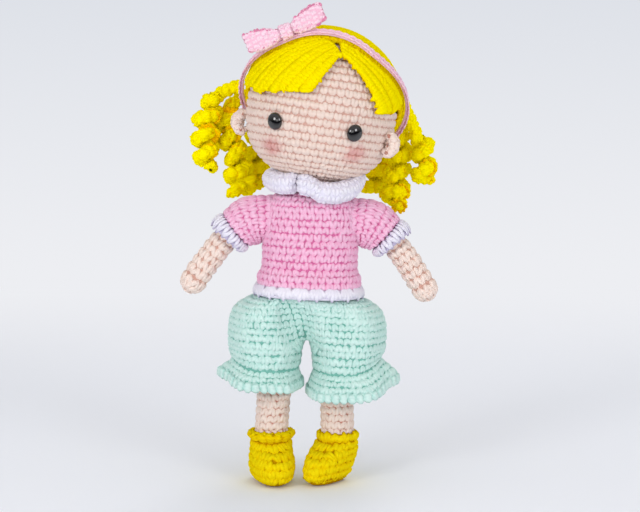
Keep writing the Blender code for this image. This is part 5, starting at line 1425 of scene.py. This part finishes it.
# Height, toe, heel and width of each ring, as shares of the boot; the left heel is trodden in
BOOT_SHARES = {
    "right": ((0.00, 0.78, 0.70, 0.64), (0.11, 0.94, 0.88, 0.88), (0.30, 1.02, 0.97, 1.00),
              (0.48, 0.96, 0.99, 0.99), (0.62, 0.80, 0.97, 0.95), (0.73, 0.62, 0.96, 0.93)),
    "left": ((0.00, 0.78, 0.20, 0.54), (0.11, 0.94, 0.42, 0.72), (0.30, 1.02, 0.66, 0.85),
             (0.48, 0.94, 0.86, 0.91), (0.62, 0.78, 0.95, 0.95), (0.73, 0.60, 0.96, 0.93)),
}


def boot_rows(name, inset=0.0, floor=0.0):
    """The boot's rings from sole to instep, or those of what stands inside it, higher than a floor."""
    return [(max(h * BOOT_HEIGHT, floor), BOOT_HALF * w - inset, BOOT_TOE * t - inset,
             BOOT_HEEL * e - inset, BOOT_POWER) for h, t, e, w in BOOT_SHARES[name]]


def level_rings(pairs):
    """Round rings of a leg from heights and radii."""
    return [(h, r, r, r, ROUND) for h, r in pairs]


# %% Legs
LEG_RADIUS, LEG_GAP = 8.5, 0.5
# The shank straight up into the shorts, and its closed top, as heights and radii
SHANK = (*((height, LEG_RADIUS) for height in (20.6, 24.0, 42.0, 60.0, 74.0)), (81.5, 6.6), (83.0, 3.0))
# Only stitches between the boot's inside and the shorts are worked, and the sole of the foot starts small
LEG_SHOWN, FOOT_START = (21, 72), 0.6
LEG_ROW = (3.9, 3.7)
foot_inset = BOOT_THICKNESS + LEG_GAP
foot_low = BOOT_THICKNESS + FIT_GAP


def make_leg(name):
    rings = level_rings([(foot_low, FOOT_START)]) + boot_rows(name, foot_inset, foot_low)
    leg = leg_surface(name, rings + level_rings(SHANK))
    low, high = LEG_SHOWN
    rows = lay_rows(leg, *LEG_ROW, keep=lambda p: (p[:, 2] > low) & (p[:, 2] < high))
    skin = piece(f"leg_{name}_fabric",
                 [shell(leg, -0.9, -2.2, across=40, upward=60, relief_shade=0.05),
                  lay(rows, leg_vee, sink=1.15, wander=0.09, flip=True)],
                 skin_yarn, f"leg_{name}", "skin_yarn", f"leg_skin_{name}")


# %% [markdown]
# ## Insoles
#
# A crocheted sole is too soft to stand on, so a stiff insole lies between the foot's filling and its
# skin. It is brown board: pressed paper fibre, matt, with a fine mottle. Nobody sees it, but it belongs to
# the doll and shows when the doll is taken apart.

# %% Insoles of pressed board
# Its top, its thickness, and how far it stays inside the boot's outline; it may not shrink to nothing
INSOLE_TOP, INSOLE_THICKNESS, INSOLE_INSET, INSOLE_LEAST = 6.2, 1.2, 5.4, (1, 0.5)
# Rings of its flat top, from the edge to the middle
INSOLE_RINGS = (1, 0.8, 0.5, 0.2, 0.02)
card = speckled("insole_card", 0.75, 0.3, 0.8, ("AD9A7C", "C6B597"), detail=4.0, bump=0.3, depth=0.2)


def make_insole(name):
    _, toe, heel, width = BOOT_SHARES[name][1]
    half = max(BOOT_HALF * width - INSOLE_INSET, INSOLE_LEAST[0])
    front, back = BOOT_TOE * toe - INSOLE_INSET, max(BOOT_HEEL * heel - INSOLE_INSET, INSOLE_LEAST[1])
    plate = [(INSOLE_TOP, half * share, front * share, back * share, BOOT_POWER) for share in INSOLE_RINGS]
    sheet = shell(leg_surface(name, plate), 0.0, -INSOLE_THICKNESS, across=40, upward=6, relief_shade=1.0)
    piece(f"insole_{name}_sheet", [sheet], card, f"leg_{name}", "insole_sheet", f"insole_{name}")


# %% Boots
# The boot grips the leg a little, and its rim starts at this share of its height
BOOT_GRIP, BOOT_RIM_SHARE, BOOT_RISE = 0.4, 0.86, 0.9
# The right boot's rolled rim: its radius, its drop below the rim, its inset and the degrees of its section
ROLL_RADIUS, ROLL_DROP, ROLL_INSET = 1.9, 0.4, 0.7
ROLL_ARC = (-100, -60, -20, 20, 60, 100, 140)
# Stitches right under the sole are raised by SOLE_LIFT, less the higher they are, to stand on the floor
SOLE_SHARES, SOLE_LIFT, SOLE_FADE = (0.05, 0.5, 0.85), 2.05, 2
BOOT_ROW, ROLL_ROW = (4.15, 4.35), (4.4, 4.4)
boot_radius = LEG_RADIUS + LEG_GAP + BOOT_THICKNESS - BOOT_GRIP
boot_rim = level_rings([(BOOT_RIM_SHARE * BOOT_HEIGHT, boot_radius), (BOOT_HEIGHT + BOOT_RISE, boot_radius)])
roll_height, roll_middle = BOOT_HEIGHT - ROLL_DROP, boot_radius - ROLL_INSET
boot_roll = level_rings([(roll_height + ROLL_RADIUS * math.sin(t), roll_middle + ROLL_RADIUS * math.cos(t))
                         for t in np.radians(ROLL_ARC)])


def make_boot(name):
    toe, heel, width = BOOT_SHARES[name][0][1:]
    sole = [(0.0, BOOT_HALF * width * share, BOOT_TOE * toe * share, BOOT_HEEL * heel * share, BOOT_POWER)
            for share in SOLE_SHARES]
    boot = leg_surface(name, sole + boot_rows(name) + boot_rim)
    rows = lay_rows(boot, *BOOT_ROW)
    rows["place"][:, 2] += SOLE_LIFT * np.exp(-rows["place"][:, 2] / SOLE_FADE)
    parts = [shell(boot, -0.8, -1.9, across=56, upward=60, relief_shade=0.15),
             lay(rows, boot_vee, sink=1.25, wander=0.12)]
    if name == "right":
        roll = leg_surface(name, boot_roll)
        parts += [shell(roll, -0.9, -1.8, across=48, upward=10, relief_shade=0.1),
                  lay(sideways(lay_rows(roll, *ROLL_ROW)), boot_vee, sink=1.3, wander=0.1)]
    piece(f"boot_{name}_fabric", parts, boot_yarn, f"leg_{name}", "boot_yarn", f"boot_{name}")


# %% Both legs in their boots
# Thick mustard cotton; its hollows are painted a brown shade, deep because the boot is worked tightly
boot_tones = ("F0D70C", "E8C200", "A87000")
boot_yarn = yarn("boot_cotton", *boot_tones, sheen=0.0, gloss=0.0)
leg_vee = tile(HEART_LEFT, HEART_RIGHT, thick=1.9, size=LEG_ROW)
boot_vee = tile(HEART_LEFT, HEART_RIGHT, thick=2.4, size=(4.2, 4.4))
for name in ("right", "left"):
    make_leg(name)
    make_insole(name)
    make_boot(name)

# %% [markdown]
# ## Shorts
#
# The shorts are one piece: a waistband hidden by the shirt, full legs that bulge over a gather near the
# hem, and a frill that flares below the gather. They fork, so no single tube gives their shape. Instead
# there are three surfaces: a tube for each leg from hem to crotch, one that runs round both legs from the
# crotch up to the waist, and a saddle between the legs that closes the crotch.

# %% Surface through rings
def weights(f):
    """Shares of four neighbours for a smooth curve between the middle two."""
    return (f * (f * (2 - f) - 1) / 2, (f * f * (3 * f - 5) + 2) / 2, f * (f * (4 - 3 * f) + 1) / 2,
            f * f * (f - 1) / 2)


def through_rings(rings):
    """A smooth closed surface through rows of rings, all with the same count of points."""
    rings = np.asarray(rings, float)
    rows, columns = rings.shape[:2]

    def surface(u, v):
        u, v = np.broadcast_arrays(np.asarray(u, float) % 1, np.clip(v, 0, 1))
        across, upward = u * columns, v * (rows - 1)
        c, r = np.floor(across).astype(int), np.minimum(upward.astype(int), rows - 2)
        total = 0
        for i, tall in enumerate(weights(upward - r)):
            for j, wide in enumerate(weights(across - c)):
                corner = rings[np.clip(r + i - 1, 0, rows - 1), (c + j - 1) % columns]
                total = total + corner * (tall * wide)[..., None]
        return total

    return surface


# %% Rings of the shorts
SHORTS_DEPTH, SHORTS_LEG_HALF, SHORTS_ASIDE = 21.5, 18.8, 20.6
# Heights of the crotch, the gather and the hem, and how far the gather draws the leg in
CROTCH, GATHER, HEM, GATHER_SHARE = 69.0, 57.0, 47.5, 0.93
# For the doll's right and left: the outer side's lift, the whole hem's shift and the share of the flare
FRILL_LIFTS, HEM_SHIFTS = {-1: 4.0, 1: 7.0}, {-1: 2.4, 1: -1.0}
FLARE_SHARES = {-1: 0.62, 1: 1.0}
FRILL_FLARE, FRILL_RIPPLE, FRILL_WAVES, FRILL_INNER = 7.0, 1.6, 6, 0.74
# Points of a leg's ring, how many of them face the other leg, and the fabric's thickness
LEG_POINTS, CROTCH_POINTS, SHORTS_THICKNESS = 24, 6, 2.4
# From crotch to waist: share of the height, share of the way in to the waistband, and bulge
RISE_SHARES = ((0.26, 0.02, 0.03), (0.52, 0.09, 0.05), (0.74, 0.27, 0.07), (0.90, 0.62, 0.05))
# How deep the crease between the legs is at the front, its share at the back, how far it is pulled aside
# at the waist, how wide that pull is, and how far the crotch arches up
CREASE_DEPTH, CREASE_BACK, CREASE_SHIFT, CREASE_WIDTH, CROTCH_ARCH = 9.0, 0.7, 12.5, 13, 3.0


def leg_opening(side, height, half_width, half_depth, flare, ripple):
    """A ring of one leg, numbered from the crotch side, front first."""
    angle = 2 * np.pi * np.arange(LEG_POINTS) / LEG_POINTS
    inward = np.cos(angle)
    wave, flare = ripple * np.cos(FRILL_WAVES * angle), flare * FLARE_SHARES[side]
    width = half_width + (flare + wave) * (1 - FRILL_INNER * np.maximum(inward, 0) ** 4)
    lift = FRILL_LIFTS[side] * min(max((CROTCH - height) / (CROTCH - GATHER), 0), 1)
    level = height + lift * np.maximum(-inward, 0) ** 2
    level = level + HEM_SHIFTS[side] * min(max((GATHER - height) / (GATHER - HEM), 0), 1)
    return np.stack([side * (SHORTS_ASIDE - width * inward),
                     -(half_depth + flare + wave) * np.sin(angle), level], 1)


def waist_corner(side, k, height, outline, share, bulge):
    """A corner on the way from the crotch's outline to the waistband."""
    band_width = BODY_HALF_WIDTH * BODY_SHARES[2][1] + FIT_GAP + SHORTS_THICKNESS
    band_depth = BODY_HALF_DEPTH * BODY_SHARES[2][2] + FIT_GAP + SHORTS_THICKNESS
    half, free = CROTCH_POINTS // 2, LEG_POINTS - CROTCH_POINTS
    a = math.pi * (k - half + 0.5) / (free + 1)
    c, s = math.cos(a), math.sin(a)
    waist = np.array((side * band_width * abs(s) ** (2 / TORSO_POWER),
                      -band_depth * math.copysign(abs(c) ** (2 / TORSO_POWER), c), height))
    lower = np.array((outline[0], outline[1], height))
    return lower + (waist - lower) * share + np.array((side * s, -c, 0)) * SHORTS_LEG_HALF * bulge


# %% Rings from hem to waist
FRILL_RISE = GATHER - HEM
# Height, share of the leg's size, flare and ripple of each ring
LEG_LEVELS = ((HEM, GATHER_SHARE, FRILL_FLARE, FRILL_RIPPLE),
              (HEM + FRILL_RISE * 0.35, GATHER_SHARE, FRILL_FLARE * 0.9, FRILL_RIPPLE * 0.9),
              (HEM + FRILL_RISE * 0.75, GATHER_SHARE, FRILL_FLARE * 0.35, FRILL_RIPPLE * 0.4),
              (GATHER, GATHER_SHARE, 0.0, 0.0),
              ((GATHER + CROTCH) / 2, (1 + GATHER_SHARE) / 2, 0.0, FRILL_RIPPLE * 0.25),
              (CROTCH, 1.0, 0.0, FRILL_RIPPLE * 0.3))
leg_rings = {side: np.array([leg_opening(side, h, SHORTS_LEG_HALF * s, SHORTS_DEPTH * s, f, r)
                             for h, s, f, r in LEG_LEVELS]) for side in (-1, 1)}
half = CROTCH_POINTS // 2
free = range(half, LEG_POINTS - half + 1)
order = [(1, k) for k in free] + [(-1, k) for k in reversed(free)]
outline = [leg_rings[side][-1][k % LEG_POINTS] for side, k in order]
below = [leg_rings[side][-2][k % LEG_POINTS] for side, k in order]
band_low = SHIRT_HEM - TRIM_DROP
rise = [(CROTCH + (band_low - CROTCH) * share, drawn, bulge) for share, drawn, bulge in RISE_SHARES]
rise += [(band_low, 1.0, 0.0), (SHIRT_HEM + WAIST_TUCK, 1.0, 0.0)]
waist_rings = [outline] + [[waist_corner(side, k, height, corner, share, bulge)
                            for (side, k), corner in zip(order, outline)] for height, share, bulge in rise]


# %% Crease and saddle
def folded(rings):
    """The rings with a point added at the front and back middles, drawn in to a crease."""
    made = []
    for ring in np.asarray(rings, float):
        climb = min(1.0, (ring[0][2] - CROTCH) / (band_low - CROTCH))
        depth, arch = CREASE_DEPTH * (1 - climb), CROTCH_ARCH * (1 - climb) ** 3
        half = len(ring) // 2
        middles = [(ring[a] + ring[b]) / 2 for a, b in ((0, -1), (half - 1, half))]
        middles = [m + (0, depth * drawn, arch) for m, drawn in zip(middles, (1, -CREASE_BACK))]
        points = np.concatenate([middles[:1], ring[:half], middles[1:], ring[half:]])
        front = np.clip(-points[:, 1] / SHORTS_DEPTH, 0, 1)
        pull = np.exp(-(points[:, 0] / CREASE_WIDTH) ** 2)
        points[:, 0] -= CREASE_SHIFT * climb ** 0.7 * front * pull
        made.append(points)
    return np.array(made)


waist_surface = through_rings(placed(folded(waist_rings), torso_frame))
leg_tubes = {side: through_rings(placed(rings[:, ::side], torso_frame)) for side, rings in leg_rings.items()}


def saddle(u, v):
    """The strip of crotch between the two legs: u from leg to leg and v from back to front."""
    u, v = np.broadcast_arrays(np.asarray(u, float), np.asarray(v, float))
    angle = 2 * np.pi * (v - 0.5) * CROTCH_POINTS / LEG_POINTS
    edge = SHORTS_ASIDE - (SHORTS_LEG_HALF + FRILL_RIPPLE * 0.3) * np.cos(angle)
    inner = 1 - (2 * u - 1) ** 2
    y = -SHORTS_DEPTH * np.sin(angle) + CREASE_DEPTH * (v - CREASE_BACK * (1 - v)) * inner
    return placed(np.stack([(2 * u - 1) * edge, y, CROTCH + CROTCH_ARCH * inner], -1), torso_frame)


print(f"shorts: {len(waist_rings)} rings above the crotch, {len(LEG_LEVELS)} on each leg")

# %% Shorts in mint cotton
# Pale mint whose hollows are painted a deep sea-green shade
shorts_tones = ("CDE8E2", "B0D9D1", "5CA596")
shorts_yarn = yarn("mint_cotton", *shorts_tones)
SHORTS_ROW, SADDLE_ROW, HEM_ROW = (3.45, 3.5), (3.75, 3.6), (4.0, 3.2)
# The hem's last row, as a share of the leg's surface; the rows round both legs end under the shirt
HEM_SHARE, WAIST_SHARE = 0.05, 0.9
shorts_vee = tile(HEART_LEFT, HEART_RIGHT, thick=1.85, size=(3.5, 3.5))
hem_knob = tile(PLUMP_LEFT, PLUMP_RIGHT, thick=2.5, size=(3.2, 4.0))


def worked(surface, span=(0.0, 1.0)):
    """Upside-down stitches on a surface, as on shorts that are worked from the waist down."""
    return lay(lay_rows(surface, *SHORTS_ROW, span=span), shorts_vee, sink=1.2, wander=0.12, flip=True)


shorts_parts = [shell(waist_surface, -0.9, -2.1, across=136, upward=36, relief_shade=0.12),
                shell(saddle, -0.3, -1.5, across=12, upward=12, closed=False, relief_shade=0.3),
                lay(lay_rows(saddle, *SADDLE_ROW, closed=False), shorts_vee),
                worked(waist_surface, (0.0, WAIST_SHARE))]
for leg_tube in leg_tubes.values():
    hem = sideways(lay_rows(leg_tube, *HEM_ROW, span=(0.0, HEM_SHARE)))
    hem["wide"][:] = HEM_ROW[1]
    shorts_parts += [shell(leg_tube, -0.9, -2.1, across=96, upward=30, relief_shade=0.12), worked(leg_tube),
                     lay(hem, hem_knob, sink=0.6, wander=0.08)]
piece("shorts_fabric", shorts_parts, shorts_yarn, "torso", "mint_yarn", "shorts")

# %% [markdown]
# ## Inside the doll
#
# The skins are filled with loose polyester wadding, which takes the shape of what holds it but stays
# uneven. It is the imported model's stuffing, pushed in here and there so that no two sides are alike. It is
# never pushed out: the push runs from almost nothing to about a millimetre.

# %% Wadding
# Combed polyester fibre: white, quite matt and full of tufts of a few millimetres
wadding = speckled("polyester_wadding", 1.0, 0.1, 2.5, ("DCD8CF", "FBFAF6"), detail=6.0, bump=0.8, depth=1)
# A lump's depth and size in millimetres; the noise reaches about 0.6 either way, so this makes it a push in
TUFT_DEPTH, TUFT_SIZE, LUMP_MIDDLE = 0.7, 6.0, 0.6
STUFFINGS = {"head_stuffing": "head", "body_stuffing": "torso", "arm_stuffing_right": "arm_right",
             "arm_stuffing_left": "arm_left", "leg_stuffing_right": "leg_right",
             "leg_stuffing_left": "leg_left"}

for node, body_name in STUFFINGS.items():
    source = frame["nodes"][node]
    data = source.data.copy()
    data.transform(source.matrix_world)
    for corner in data.vertices:
        lump = noise.noise(corner.co / (TUFT_SIZE * MM)) - LUMP_MIDDLE
        corner.co += corner.normal * lump * TUFT_DEPTH * MM
    data.materials.clear()
    data.materials.append(wadding)
    made = bpy.data.objects.new(f"{node}_wadding", data)
    bpy.context.scene.collection.objects.link(made)
    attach(made, body_name)
    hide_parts(node)
    print(f"{made.name}: {len(data.polygons)} faces")
